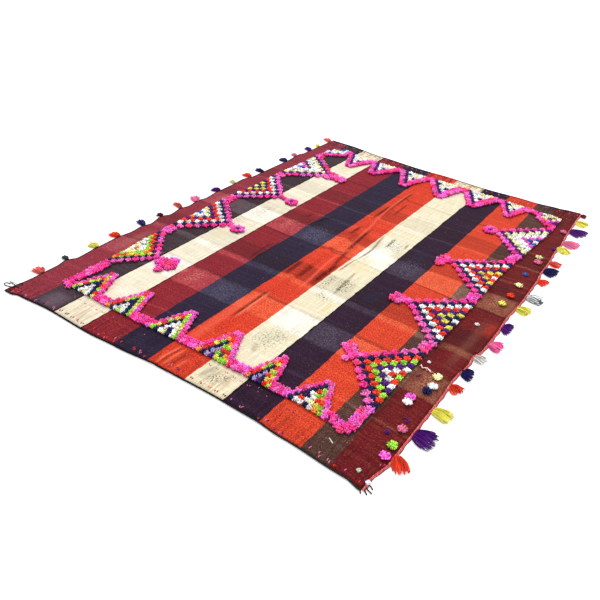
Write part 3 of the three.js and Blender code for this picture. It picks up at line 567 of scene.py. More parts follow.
STRAYS = table(Stray, [
    ([(1250 + 4.5 * k, 513 + 5 * math.sin(1.9 * k) - 0.2 * k) for k in range(11)], Yarn.PALE_CORAL, 2.0, 1.5),
    ([(1252, 520), (1262, 508), (1274, 517), (1288, 507)], Yarn.WHITE, 1.6, 3.0),
    ([(1324, 268), (1330, 274), (1328, 284)], Yarn.PURPLE, 1.5),
    ([(1310, 276), (1318, 284), (1328, 282)], Yarn.PURPLE, 1.5),
    ([(1264, 466), (1270, 472), (1268, 480)], Yarn.PURPLE, 1.5),
    ([(1194, 90), (1202, 85), (1210, 80)], Yarn.PALE_GREEN),
    ([(14, 26), (-4, 20), (-22, 16), (-34, 21), (-30, 30), (-16, 32)], Yarn.BLACK),
    ([(18, 34), (2, 36), (-14, 38), (-30, 40)], Yarn.SLATE),
    ([(2, 44), (-10, 46), (-20, 43), (-29, 46)], Yarn.PALE_GREEN),
    ([(12, 44), (6, 52), (14, 58), (20, 50)], Yarn.BLACK),
    ([(20, 22), (10, 28), (14, 38), (24, 34)], Yarn.BLACK),
    ([(26, 10), (14, 8), (6, 16), (12, 26)], Yarn.OXBLOOD),
    ([(1338, 6), (1350, -2), (1360, -10)], Yarn.BLACK), ([(1344, 10), (1356, 4), (1368, 0)], Yarn.BLACK),
    ([(1330, 4), (1340, -6), (1346, -16)], Yarn.OXBLOOD), ([(1346, 18), (1356, 18), (1364, 12)], Yarn.BLACK),
])

MATH = "ShaderNodeMath"
RANGE = "ShaderNodeMapRange"
MIX = "ShaderNodeMix"
VECTOR_MATH = "ShaderNodeVectorMath"
ATTRIBUTE = "ShaderNodeAttribute"
VECTOR = "ShaderNodeCombineXYZ"
READ = "GeometryNodeInputNamedAttribute"
STORE = "GeometryNodeStoreNamedAttribute"
MOVE = "GeometryNodeSetPosition"
INSTANCES = "GeometryNodeInstanceOnPoints"
NOISE = (0.3, 0.7)  # between which most of a noise lies
LIGHTS = (0.3, 0.6)  # every stripe but the cream ones is darker than the first, those are lighter than both


def linear(colour: int) -> Colour:
    """Turns an sRGB hex colour into linear values.

    Args:
        colour: The colour as 0xRRGGBB.

    Returns:
        Red, green, blue and an alpha of one.
    """
    parts = [((colour >> shift) & 0xFF) / 255 for shift in (16, 8, 0)]
    low, gain, offset, power = 0.04045, 12.92, 0.055, 2.4
    values = [c / gain if c <= low else ((c + offset) / (1 + offset)) ** power for c in parts]
    return values[0], values[1], values[2], 1.0


def stand(name: str, data: bpy.types.ID) -> Piece:
    """Puts an object into the scene.

    Args:
        name: Its name.
        data: Its mesh, camera or light.

    Returns:
        The object.
    """
    piece = bpy.data.objects.new(name, data)
    bpy.context.scene.collection.objects.link(piece)
    return piece


def smooth(share: np.ndarray) -> np.ndarray:
    """Returns the smooth step of a share, held between nought and one."""
    held = np.clip(share, 0, 1)
    return held * held * (3 - 2 * held)


def out_at(edge: Sequence[Edge], at: np.ndarray) -> np.ndarray:
    """Works out how far an edge stands out.

    Args:
        edge: The edge's table.
        at: Places along the edge.

    Returns:
        The distance at each place.
    """
    places = np.array([row.at for row in edge])
    outs = np.array([row.out for row in edge])
    k = np.clip(np.searchsorted(places, at), 1, len(edge) - 1)
    share = smooth((at - places[k - 1]) / (places[k] - places[k - 1]))
    return outs[k - 1] + (outs[k] - outs[k - 1]) * share


def foot_on(line: Sequence[Spot], x: np.ndarray, y: np.ndarray) -> tuple[np.ndarray, np.ndarray, float]:
    """Finds the nearest place on a line of several legs.

    Args:
        line: The line's points.
        x: Places across the rug.
        y: Places along the rug.

    Returns:
        The distance to the line, how far along it the foot lies, and the line's length.
    """
    best = np.full(np.shape(x), np.inf)
    along = np.zeros(np.shape(x))
    passed = 0.0
    for (ax, ay), (bx, by) in zip(line, line[1:]):
        leg = math.hypot(bx - ax, by - ay)
        share = np.clip(((x - ax) * (bx - ax) + (y - ay) * (by - ay)) / leg**2, 0, 1)
        distance = np.hypot(x - ax - share * (bx - ax), y - ay - share * (by - ay))
        nearer = distance < best
        best = np.where(nearer, distance, best)
        along = np.where(nearer, passed + share * leg, along)
        passed += leg
    return best, along, passed


def ridge(fold: Fold, x: np.ndarray, y: np.ndarray) -> np.ndarray:
    """Works out how much one fold raises the cloth.

    Args:
        fold: The fold.
        x: Places across the rug.
        y: Places along it.

    Returns:
        The height at each place.
    """
    distance, along, length = foot_on(fold.line, x, y)
    from_end = np.minimum(along, length - along)
    fade = smooth(from_end / min(FOLD_FADE, length / 2))
    share = np.minimum(distance / fold.half, 1)
    return 0.5 * fold.high * fade * (1 + np.cos(math.pi * share))


@dataclass(frozen=True)
class RugFrame:
    """Where the rug's own millimetres lie in the frame."""

    x: float
    y: float

    @classmethod
    def from_nodes(cls) -> "RugFrame":
        """Finds where the rug lies, from two stretches whose first rows are known.

        Returns:
            The placing.
        """
        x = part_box("pile_front")[0].x - (PILE_ROWS[Side.FRONT][0].along + SPLIT / 2) * MM
        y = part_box("pile_left_1")[0].y - (PILE_ROWS[Side.LEFT][0].along + SPLIT / 2) * MM
        return cls(x, y)

    def metres(self, points: np.ndarray) -> np.ndarray:
        """Returns points of the rug in metres of the frame."""
        return np.asarray(points, float) * MM + (self.x, self.y, 0.0)


@dataclass(frozen=True)
class Loom:
    """How the cloth as it was woven lies on the floor."""

    def boundaries(self, v: np.ndarray) -> np.ndarray:
        """Finds where the stripes' boundaries lie.

        Args:
            v: Places along the cloth on the loom, as one row.

        Returns:
            A row of places across the rug for each boundary, both edges included.
        """
        share = v / LENGTH
        left = -out_at(LEFT_EDGE, v)
        right = WIDTH + out_at(RIGHT_EDGE, v)
        inner = [
            row.front * (1 - share) * (1 - 2 * share) + row.middle * 4 * share * (1 - share)
            + row.back * share * (2 * share - 1)
            for row in STRIPES[:-1]
        ]
        return np.stack([left, *inner, right])

    def place(self, u: np.ndarray, v: np.ndarray) -> tuple[np.ndarray, np.ndarray]:
        """Finds where points of the loom lie on the rug.

        Args:
            u: Places across the cloth on the loom.
            v: Places along it, of the same shape.

        Returns:
            The places across and along the rug.
        """
        flat_u, flat_v = np.ravel(u), np.ravel(v)
        bounds = self.boundaries(flat_v)
        marks = np.array([0.0] + [row.to for row in STRIPES])
        k = np.clip(np.searchsorted(marks, flat_u), 1, len(STRIPES))
        each = np.arange(len(flat_u))
        share = (flat_u - marks[k - 1]) / (marks[k] - marks[k - 1])
        x = bounds[k - 1, each] + (bounds[k, each] - bounds[k - 1, each]) * share
        nominal = (x - bounds[0]) / (bounds[-1] - bounds[0]) * WIDTH
        front = -out_at(FRONT_EDGE, nominal)
        back = LENGTH + out_at(BACK_EDGE, nominal)
        y = front + (back - front) * flat_v / LENGTH
        return x.reshape(np.shape(u)), y.reshape(np.shape(u))

    def lift(self, x: np.ndarray, y: np.ndarray) -> np.ndarray:
        """Works out how high the cloth is lifted off the floor.

        Args:
            x: Places across the rug.
            y: Places along it.

        Returns:
            The height of the cloth's underside, nowhere under the floor.
        """
        x, y = np.asarray(x, float), np.asarray(y, float)
        folds = np.max([ridge(fold, x, y) for fold in FOLDS], axis=0)
        creases = np.sum([ridge(fold, x, y) for fold in CREASES], axis=0)
        rim = np.minimum(np.minimum(x, WIDTH - x), np.minimum(y, LENGTH - y)) / WAVE_RIM
        waves = sum(
            high * (1 + np.sin(2 * math.pi * x / across + k) * np.cos(2 * math.pi * y / along + 2 * k))
            for k, (high, across, along) in enumerate(WAVES)
        )
        return np.maximum(folds + creases + smooth(rim) * waves, 0)

    def top(self, x: np.ndarray, y: np.ndarray) -> np.ndarray:
        """Returns the height of the cloth's upper face."""
        return self.lift(x, y) + CLOTH


@dataclass(frozen=True)
class Term:
    """A value in a graph of nodes. Arithmetic on it adds the nodes that work it out."""

    graph: "NodeGraph"
    socket: Socket

    def __getitem__(self, name: str) -> "Term":
        """Returns another output of the same node."""
        return Term(self.graph, self.socket.node.outputs[name])

    def __add__(self, other: Value) -> "Term":
        """Returns the sum."""
        return self.graph.add(MATH, self, other, operation="ADD")

    def __sub__(self, other: Value) -> "Term":
        """Returns the difference."""
        return self.graph.add(MATH, self, other, operation="SUBTRACT")

    def __rsub__(self, other: Value) -> "Term":
        """Returns the difference from a number."""
        return self.graph.add(MATH, other, self, operation="SUBTRACT")

    def __mul__(self, other: Value) -> "Term":
        """Returns the product."""
        return self.graph.add(MATH, self, other, operation="MULTIPLY")

    def __truediv__(self, other: Value) -> "Term":
        """Returns the quotient."""
        return self.graph.add(MATH, self, other, operation="DIVIDE")


@dataclass
class NodeGraph:
    """A tree of nodes that is filled one node at a time."""

    tree: bpy.types.NodeTree

    def fill(self, socket: Socket, value: Value) -> None:
        """Fills one input of a node.

        Args:
            socket: The input.
            value: A term or a list of them to link from, a plain value, or None for neither.
        """
        if isinstance(value, Term):
            self.tree.links.new(value.socket, socket)
        elif isinstance(value, list):
            for term in value:
                self.fill(socket, term)
        elif value is not None:
            socket.default_value = value

    def add(self, kind: str, *values: Value, **settings: Value) -> Term:
        """Adds a node with its settings, its values and the links into it.

        Args:
            kind: The node's type name.
            values: What goes into each of the inputs in use, in their order.
            settings: Values of the node's own properties.

        Returns:
            The first of its outputs in use, or its last input where it has no output.
        """
        node = self.tree.nodes.new(kind)
        for name, value in settings.items():
            setattr(node, name, value)
        for socket, value in zip([socket for socket in node.inputs if socket.enabled], values):
            self.fill(socket, value)
        return Term(self, next(socket for socket in [*node.outputs, *node.inputs] if socket.enabled))


class NodeMaterial(NodeGraph):
    """A material made of nodes, with its shader and output in place."""

    def __init__(self, name: str) -> None:
        """Makes the empty material.

        Args:
            name: The material's name.
        """
        self.material = bpy.data.materials.new(name)
        self.material.use_nodes = True
        super().__init__(self.material.node_tree)

    def grain(self, place: Term, cell: Triple, detail: float = 2.0) -> Term:
        """Adds noise with cells of a given size.

        Args:
            place: The place in metres.
            cell: The size of a cell in millimetres, along each axis.
            detail: The noise's detail.

        Returns:
            The noise, about one half.
        """
        scale = tuple(1 / (size * MM) for size in cell)
        mapped = self.add("ShaderNodeMapping", place, None, None, scale)
        return self.add("ShaderNodeTexNoise", mapped, 1.0, detail)

    def laid_out(self, place: Term, stops: Sequence[tuple[float, Colour]], steps: bool) -> Term:
        """Lays colours out along a ramp.

        Args:
            place: The place on the ramp.
            stops: Positions and colours.
            steps: Whether each colour holds until the next stop.

        Returns:
            The colour at the place.
        """
        colour = self.add("ShaderNodeValToRGB", place)
        ramp = colour.socket.node.color_ramp
        ramp.interpolation = "CONSTANT" if steps else "LINEAR"
        while len(ramp.elements) > 1:
            ramp.elements.remove(ramp.elements[-1])
        ramp.elements[0].position, ramp.elements[0].color = stops[0]
        for position, stop in stops[1:]:
            ramp.elements.new(position).color = stop
        return colour

    def finish(self, colour: Term, values: dict[str, Value], relief: Term | None = None) -> Material:
        """Ends the material.

        Args:
            colour: The surface's colour.
            values: The shader's values that are the same all over.
            relief: The surface's normal, where it has relief.

        Returns:
            The material.
        """
        inputs = self.tree.nodes["Principled BSDF"].inputs
        for name, value in {"Base Color": colour, "Normal": relief, **values}.items():
            self.fill(inputs[name], value)
        return self.material


@dataclass(frozen=True, kw_only=True)
class Wool:
    """What the wools have in common: a matt surface, with a faint pale rim from its loose hairs."""

    roughness: float = 0.95
    specular: float = 0.12
    sheen: float = 0.03

    def feel(self) -> dict[str, Value]:
        """Returns the shader's values that are the same all over."""
        return {"Roughness": self.roughness, "Specular IOR Level": self.specular, "Sheen Weight": self.sheen}


@dataclass(frozen=True, kw_only=True)
class WarpFacedWool(Wool):
    """Warp-faced wool cloth: matt, with fine ribs along the stripes and paler bands where it has worn.

    Each cell is the size of one grain of unevenness, across the stripes and along them.
    """

    mottle: Triple = (3.4, 5.5, 1.0)  # ribs and picks are finer; drawn coarse enough to show
    dash: Triple = (15.0, 4.5, 1.0)  # weft yarns that wear has bared, likewise
    streak: Triple = (3.2, 90.0, 1.0)  # warp yarns that differ from their fellows
    abrash: Triple = (420.0, 16.0, 1.0)  # weft bands of uneven dye
    patch: Triple = (26.0, 44.0, 1.0)  # places more and less worn
    end_streak: Triple = (8.0, 110.0, 1.0)  # painted shade of the warp's ripples at the ends
    lint: Triple = (5.0, 5.0, 1.0)
    broken: Triple = (7.0, 14.0, 1.0)  # gaps in the creases' painted dirt and shade
    dotted: Triple = (5.5, 8.0, 1.0)  # and in the dots
    wobble: Triple = (9.0, 38.0, 1.0)  # of a stripe's boundary
    wobble_by: float = 1.6
    wave: Triple = (70.0, 900.0, 1.0)  # of the weft bands
    wave_by: float = 5.0
    contrast: float = 2.8  # of the mottle on the dark and bright stripes
    cream_contrast: float = 0.5  # and on the cream ones
    brightness: float = 0.86
    back_soil: tuple[float, ...] = (1895.0, 1930.0, 0.0, 0.85)  # where painted shade of the warp's ripples streaks the back end, how much
    front_soil: tuple[float, ...] = (92.0, 125.0, 0.4, 0.0)  # and the same of the front end
    dark: int = 0x2A1614  # dirt of the dark bands
    tan: int = 0xC49470  # colour of that painted ripple shade on the cream stripes
    fluff: int = 0xC8BCB4
    fluff_over: float = 0.77  # noise over which a fleck of lint lies
    fluff_share: float = 0.5  # how much of the cloth it covers
    bare_gain: float = 1.7  # how much lighter a bared weft yarn is than the worn stripe
    dirt_shade: float = 0.3  # shade of the stripes under the ends' painted ripple shade
    relief: tuple[float, float] = (0.55, 0.8)  # strength and height of the weave
    sheen: float = 0.02

    def stripe_stops(self, worn: bool) -> list[tuple[float, Colour]]:
        """Lists the stripes and their dark edge lines as the stops of a ramp.

        Args:
            worn: Whether they have their worn colours.

        Returns:
            Positions and colours.
        """
        stops = []
        start = 0.0
        for row in STRIPES:
            stops.append((start / WIDTH, linear(row.worn if worn else row.fresh)))
            if row.line:
                stops.append(((row.to - row.line / 2) / WIDTH, linear(row.line_colour)))
            start = row.to + row.line / 2
        return stops

    def band_stops(self, bands: Sequence[Band]) -> list[tuple[float, Colour]]:
        """Lists weft bands as the stops of a ramp.

        Args:
            bands: The bands.

        Returns:
            Positions and strengths, nought where the cloth is as the rest.
        """
        none = (0.0, 0.0, 0.0, 1.0)
        stops = [(0.0, none)]
        for band in bands:
            value = (band.wear, band.wear, band.wear, 1.0)
            stops += [((band.start - band.soft) / LENGTH, none), (band.start / LENGTH, value)]
            if band.end - band.start > 2 * band.soft:
                stops.append((band.end / LENGTH, value))
            stops.append(((band.end + band.soft) / LENGTH, none))
        return stops

    def stripes(self, made: NodeMaterial, loom: Term, u: Term) -> list[Term]:
        """Lays out the stripes, with boundaries that waver a little.

        Args:
            made: The material.
            loom: The place on the loom.
            u: The place across it.

        Returns:
            Their colours, fresh and worn.
        """
        by = self.wobble_by * MM
        wobble = made.add(RANGE, made.grain(loom, self.wobble), *NOISE, -by, by)
        across = (u + wobble) / (WIDTH * MM)
        return [made.laid_out(across, self.stripe_stops(worn), True) for worn in (False, True)]

    def bands(self, made: NodeMaterial, loom: Term, u: Term, v: Term) -> list[Term]:
        """Lays out the weft bands, with the step at the storage fold.

        Args:
            made: The material.
            loom: The place on the loom.
            u: The place across it.
            v: The place along it.

        Returns:
            How worn and how dark the cloth is.
        """
        by = self.wave_by * MM
        past_fold = made.add(MATH, u, STEP_AT * MM, operation="GREATER_THAN")
        wave = made.add(RANGE, made.grain(loom, self.wave), *NOISE, -by, by)
        along = (past_fold * (STEP * MM) + v + wave) / (LENGTH * MM)
        return [made.laid_out(along, self.band_stops(bands), False) for bands in (PALE_BANDS, DARK_BANDS)]

    def soiled_ends(self, made: NodeMaterial, loom: Term, v: Term, colour: Term, light: Term) -> Term:
        """Streaks the ends with painted shade of the warp's ripples.

        Args:
            made: The material.
            loom: The place on the loom.
            v: The place along it.
            colour: The cloth's colour so far.
            light: How light the stripe is.

        Returns:
            The colour, darker at the ends and tan there on the cream stripes.
        """
        # painted shade: dark streaks where the warp ripples at both ends, tan on the cream stripes
        shares = [
            made.add(RANGE, v, low * MM, high * MM, *share)
            for low, high, *share in (self.back_soil, self.front_soil)
        ]
        ends = made.add(MATH, *shares, operation="MAXIMUM")
        streaked = made.add(RANGE, made.grain(loom, self.end_streak), 0.46, 0.6, 0.0, 1.0)
        deeper = made.add(VECTOR_MATH, colour, self.dirt_shade, operation="SCALE")
        pale = made.add(RANGE, light, *LIGHTS, 0.0, 1.0)
        ripple_colour = made.add(MIX, pale, deeper, linear(self.tan), data_type="RGBA")
        return made.add(MIX, ends * streaked, colour, ripple_colour, data_type="RGBA")

    def marked(self, made: NodeMaterial, loom: Term, colour: Term) -> Term:
        """Lays the painted stains, the creases' dirt with their painted shade and highlight, and the dots
        over the cloth.

        Args:
            made: The material.
            loom: The place on the loom.
            colour: The cloth's colour so far.

        Returns:
            The colour.
        """
        broken = made.add(RANGE, made.grain(loom, self.broken, 3), 0.3, 0.6, 0.55, 1.0)
        dotted = made.add(RANGE, made.grain(loom, self.dotted), 0.52, 0.6, 0.0, 1.0)
        for name, shown in (("marks", broken), ("dots", dotted)):
            marks = made.add(ATTRIBUTE, attribute_name=name)
            kept = made.add(VECTOR_MATH, colour, 1.0 - marks["Alpha"] * shown, operation="SCALE")
            painted = made.add(VECTOR_MATH, marks, shown, operation="SCALE")
            colour = made.add(VECTOR_MATH, kept, painted, operation="ADD")
        return colour

    def build(self) -> Material:
        """Builds the material of the woven ground.

        Returns:
            The material.
        """
        made = NodeMaterial("warp_faced_wool")
        loom = made.add("ShaderNodeUVMap", uv_map="loom")
        split = made.add("ShaderNodeSeparateXYZ", loom)
        u, v = split["X"], split["Y"]
        fresh, worn = self.stripes(made, loom, u)
        pale, dark = self.bands(made, loom, u, v)
        light = made.add("ShaderNodeRGBToBW", fresh)
        mottle, streak, abrash = (
            made.grain(loom, cell, detail)
            for cell, detail in ((self.mottle, 2), (self.streak, 3), (self.abrash, 2))
        )
        bared = made.add(RANGE, made.grain(loom, self.dash, 1), 0.56, 0.68, 0.0, 1.0)
        patchy = made.add(RANGE, made.grain(loom, self.patch, 3), 0.35, 0.65, 0.5, 1.0)
        rubbed = made.add(RANGE, abrash, 0.5, 0.75, 0.0, 0.3)
        wear = made.add(MATH, pale, rubbed, operation="MAXIMUM") * patchy
        colour = made.add(MIX, wear, fresh, worn, data_type="RGBA")
        dashes = bared * made.add(RANGE, pale, 0.0, 1.0, 0.12, 0.6)
        paler = made.add(VECTOR_MATH, worn, self.bare_gain, operation="SCALE")
        colour = made.add(MIX, dashes, colour, paler, data_type="RGBA")
        soils = dark * made.add(RANGE, light, *LIGHTS, 0.8, 0.3)
        colour = made.add(MIX, soils, colour, linear(self.dark), data_type="RGBA")
        # painted shade of the warp's ripples at both ends
        colour = self.soiled_ends(made, loom, v, colour, light)
        shade = made.add(RANGE, streak, *NOISE, 0.82, 1.15) * made.add(RANGE, abrash, *NOISE, 0.92, 1.06)
        uneven = (mottle - 0.5) * made.add(RANGE, light, *LIGHTS, self.contrast, self.cream_contrast)
        colour = made.add(VECTOR_MATH, colour, shade * (uneven + self.brightness), operation="SCALE")
        lint = made.add(MATH, made.grain(loom, self.lint, 1), self.fluff_over, operation="GREATER_THAN")
        colour = made.add(MIX, lint * self.fluff_share, colour, linear(self.fluff), data_type="RGBA")
        strength, height = self.relief
        raised = made.add("ShaderNodeBump", strength, height * MM, None, mottle + bared + streak)
        return made.finish(self.marked(made, loom, colour), self.feel(), raised)


@dataclass(frozen=True)
class SpunWool(Wool):
    """Thick hand-spun wool yarn: matt and hairy, with a painted highlight at its cut ends and painted shade
    down in the pile.
    """

    name: str
    root_shade: float = 0.55
    hair: float = 2.0  # real hairs are far finer; drawn as coarse as shows
    frost: float = 0.25  # painted highlight: how much lighter the cut ends are
    whiter: float = 0.12  # share of white in that painted highlight where it is strongest
    relief: tuple[float, float] = (0.5, 0.6)  # strength and height of the hairs

    def build(self) -> Material:
        """Builds the material, which reads its colour from the yarn's own attributes.

        Returns:
            The material.
        """
        made = NodeMaterial(self.name)
        place = made.add("ShaderNodeTexCoord")["Object"]
        yarn, shade, reach = (
            made.add(ATTRIBUTE, attribute_name=f"yarn_{name}") for name in ("colour", "shade", "reach")
        )
        # painted shade: darker towards the roots, down in the pile
        depth = made.add(RANGE, reach["Fac"], 0.0, 0.85, self.root_shade, 1.0)
        hair = made.grain(place, (self.hair, self.hair, self.hair))
        # painted highlight on the cut ends; worn here holds that highlight, not wear
        tip = made.add(RANGE, reach["Fac"], 0.7, 1.0, 0.0, self.frost)
        worn = tip * made.add(RANGE, hair, 0.4, 0.6, 0.2, 1.0)
        lit = shade["Fac"] * depth * made.add(RANGE, hair, *NOISE, 0.84, 1.14) * (worn + 1.0)
        colour = made.add(VECTOR_MATH, yarn, lit, operation="SCALE")
        colour = made.add(MIX, worn * self.whiter, colour, linear(0xFFFFFF), data_type="RGBA")
        strength, height = self.relief
        return made.finish(colour, self.feel(), made.add("ShaderNodeBump", strength, height * MM, None, hair))


@dataclass(frozen=True)
class PaperBackdrop:
    """Matt white backdrop paper, lit a little from behind: a pale floor with no shine and faint shadows."""

    fibre: Triple = (40.0, 40.0, 40.0)  # patches of fibres as they settle
    glow: float = 0.3

    def build(self) -> Material:
        """Builds the material.

        Returns:
            The material.
        """
        made = NodeMaterial("matt_backdrop_paper")
        grain = made.grain(made.add("ShaderNodeTexCoord")["Object"], self.fibre)
        colour = made.add(MIX, grain, linear(0xFBFAF9), linear(0xFEFEFD), data_type="RGBA")
        light = {"Emission Color": linear(0xFFFFFF), "Emission Strength": self.glow}
        return made.finish(colour, {"Roughness": 1.0, "Specular IOR Level": 0.1, **light})


class YarnTree(NodeGraph):
    """A geometry node tree with named inputs, run on a mesh that carries the yarns' attributes."""

    def __init__(self, name: str, inputs: dict[str, str]) -> None:
        """Makes the tree with its sockets.

        Args:
            name: The tree's name.
            inputs: Its inputs beside the geometry and the material, by name, and what each holds.
        """
        super().__init__(bpy.data.node_groups.new(name, "GeometryNodeTree"))
        sockets = self.tree.interface
        for key, kind in {"Geometry": "Geometry", **inputs, "Material": "Material"}.items():
            sockets.new_socket(key, in_out="INPUT", socket_type=f"NodeSocket{kind}")
        sockets.new_socket("Geometry", in_out="OUTPUT", socket_type="NodeSocketGeometry")
        self.given = self.add("NodeGroupInput")

    def end(self, geometry: Term) -> None:
        """Ends the tree with smooth shading, real geometry and the material.

        Args:
            geometry: What the tree has made.
        """
        even = self.add("GeometryNodeSetShadeSmooth", geometry)
        real = self.add("GeometryNodeRealizeInstances", even)
        dressed = self.add("GeometryNodeSetMaterial", real, None, self.given["Material"])
        self.add("NodeGroupOutput", dressed)

    def run(self, name: str, mesh: Mesh, **values: Value) -> Piece:
        """Runs the tree on a mesh.

        Args:
            name: The finished piece's name.
            mesh: The points or lines to start from.
            values: Named inputs of the tree, with spaces as underscores.

        Returns:
            A plain mesh object without modifiers.
        """
        piece = stand(name, mesh)
        modifier = piece.modifiers.new("yarns", "NODES")
        modifier.node_group = self.tree
        for item in self.tree.interface.items_tree:
            key = item.name.replace(" ", "_").lower()
            if item.in_out == "INPUT" and key in values:
                modifier[item.identifier] = values[key]
        graph = bpy.context.evaluated_depsgraph_get()
        made = bpy.data.meshes.new_from_object(piece.evaluated_get(graph), depsgraph=graph)
        piece.modifiers.remove(modifier)
        made.name = name
        piece.data = made
        bpy.data.meshes.remove(mesh)
        return piece


class CutKnotTree(YarnTree):
    """Turns points into cut-pile knots: a low core and a bundle of bent yarns that spread from it."""

    SIZES = ("Yarn length", "Yarn radius", "Spread", "Root share", "Dome", "Bend", "Ragged", "Round")
    YARN_SIDES = 4
    YARN_STEPS = 2
    YARN_FORM = (0.8, 1.15, -1.05)  # thickness at the root, and its change with the reach and with its square
    WIDTH_ONE = 21.0 * MM  # width of a knot whose yarns have the given radius
    LONGEST = 1.06  # length of the longest yarns of a ragged knot
    CORE_HIGH = 0.4  # height of a core's middle against its yarns' length
    CORE_WIDE = 0.43  # half its width against the knot's
    CORE_REACH = 0.3  # how far up the yarns it shades as
    CHANCES = (  # ranges of a yarn's shift both ways, its shade, turn and lean, and how ragged it is
        (-0.16, 0.16), (-0.16, 0.16), (0.4, 1.55), (-0.5, 0.5), (-0.1, 0.1), (0.0, 1.0),
    )

    def __init__(self) -> None:
        """Builds the tree."""
        super().__init__("cut_pile_knots", {"Yarns a side": "Int", **{name: "Float" for name in self.SIZES}})
        points = self.add("GeometryNodeMeshToPoints", self.given)
        self.end(self.add("GeometryNodeJoinGeometry", [self.cores(points), self.yarns(points)]))

    def template(self) -> Term:
        """Makes one yarn that stands on the origin.

        Returns:
            A bent yarn, thickest at its middle, with its reach from nought at the root to one at the end.
        """
        sizes = (self.YARN_SIDES, self.YARN_STEPS, None, 1.0, 1.0)
        rod = self.add("GeometryNodeMeshCylinder", *sizes, fill_type="NGON")
        here = self.add("ShaderNodeSeparateXYZ", self.add("GeometryNodeInputPosition"))
        rod = self.add(STORE, rod, None, "yarn_reach", here["Z"] + 0.5)
        reach = self.add(READ, "yarn_reach")
        square = reach * reach
        root, first, second = self.YARN_FORM
        thick = self.given["Yarn radius"] * (square * second + (reach * first + root))
        x = here["X"] * thick + self.given["Bend"] * square
        place = self.add(VECTOR, x, here["Y"] * thick, reach * self.given["Yarn length"])
        return self.add(MOVE, rod, None, place)

    def place_in(self, index: Term, side: Term) -> Term:
        """Returns where one of a row of yarns stands, from minus one to one."""
        half = (side - 1.0) * 0.5
        return (index - half) / half

    def rounded(self, one: Term, other: Term) -> Term:
        """Returns one of a yarn's two places, drawn in towards a circle where the knot is round."""
        bulge = other * other * (self.given["Round"] * -0.5) + 1.0
        return one * self.add(MATH, bulge, operation="SQRT")

    def yarns(self, points: Term) -> Term:
        """Sets the yarns of every knot.

        Args:
            points: The knots' places.

        Returns:
            The yarns as instances.
        """
        given, side = self.given, self.given["Yarns a side"]
        shift, second_shift, light, swing, lean, rag = (
            self.add("FunctionNodeRandomValue", *limits, None, SEED + k)
            for k, limits in enumerate(self.CHANCES)
        )
        copies = self.add("GeometryNodeDuplicateElements", points, None, side * side, domain="POINT")
        index = copies["Duplicate Index"]
        row = self.add(MATH, (index + 0.5) / side, operation="FLOOR")
        across = self.place_in(index - row * side, side) + shift
        along = self.place_in(row, side) + second_shift
        across, along = self.rounded(across, along), self.rounded(along, across)
        near = self.add(MATH, across * across + along * along, operation="SQRT")
        names = ("wide", "deep", "shade", "size", "turn")
        wide, deep, shade, size, turn = (self.add(READ, f"knot_{name}") for name in names)
        half = given["Root share"] * 0.5
        offset = self.add(VECTOR, across * wide * half, along * deep * half, 0.0)
        turned = self.add("ShaderNodeVectorRotate", offset, None, turn, rotation_type="Z_AXIS")
        roots = self.add(MOVE, copies, None, None, turned)
        heading = self.add(MATH, along, across, operation="ARCTAN2") + turn + swing
        tilt = given["Spread"] * near + lean
        domed = 1.0 - given["Dome"] * (near * near)
        long = size * domed * (self.LONGEST - given["Ragged"] * rag)
        thick = self.add(MATH, wide * deep, operation="SQRT") / self.WIDTH_ONE
        placed = self.add(STORE, roots, None, "yarn_shade", shade * light)
        turns, sizes = self.add(VECTOR, 0.0, tilt, heading), self.add(VECTOR, thick, thick, long)
        return self.add(INSTANCES, placed, None, self.template(), None, None, turns, sizes)

    def cores(self, points: Term) -> Term:
        """Sets the low core of every knot.

        Args:
            points: The knots' places.

        Returns:
            The cores as instances.
        """
        ball = self.add("GeometryNodeMeshIcoSphere", 1.0, 1)
        ball = self.add(STORE, ball, None, "yarn_reach", self.CORE_REACH)
        names = ("wide", "deep", "shade", "size")
        wide, deep, shade, size = (self.add(READ, f"knot_{name}") for name in names)
        high = self.given["Yarn length"] * size * self.CORE_HIGH
        raised = self.add(MOVE, points, None, None, self.add(VECTOR, 0.0, 0.0, high))
        placed = self.add(STORE, raised, None, "yarn_shade", shade)
        sizes = self.add(VECTOR, wide * self.CORE_WIDE, deep * self.CORE_WIDE, high)
        return self.add(INSTANCES, placed, None, ball, None, None, None, sizes)


class YarnLineTree(YarnTree):
    """Turns lines into round yarns of their own radius."""

    def __init__(self) -> None:
        """Builds the tree."""
        super().__init__("yarns_along_lines", {"Sides": "Int"})
        curve = self.add("GeometryNodeMeshToCurve", self.given)
        ring = self.add("GeometryNodeCurvePrimitiveCircle", self.given["Sides"], 1.0)
        self.end(self.add("GeometryNodeCurveToMesh", curve, ring, self.add(READ, "yarn_radius"), True))


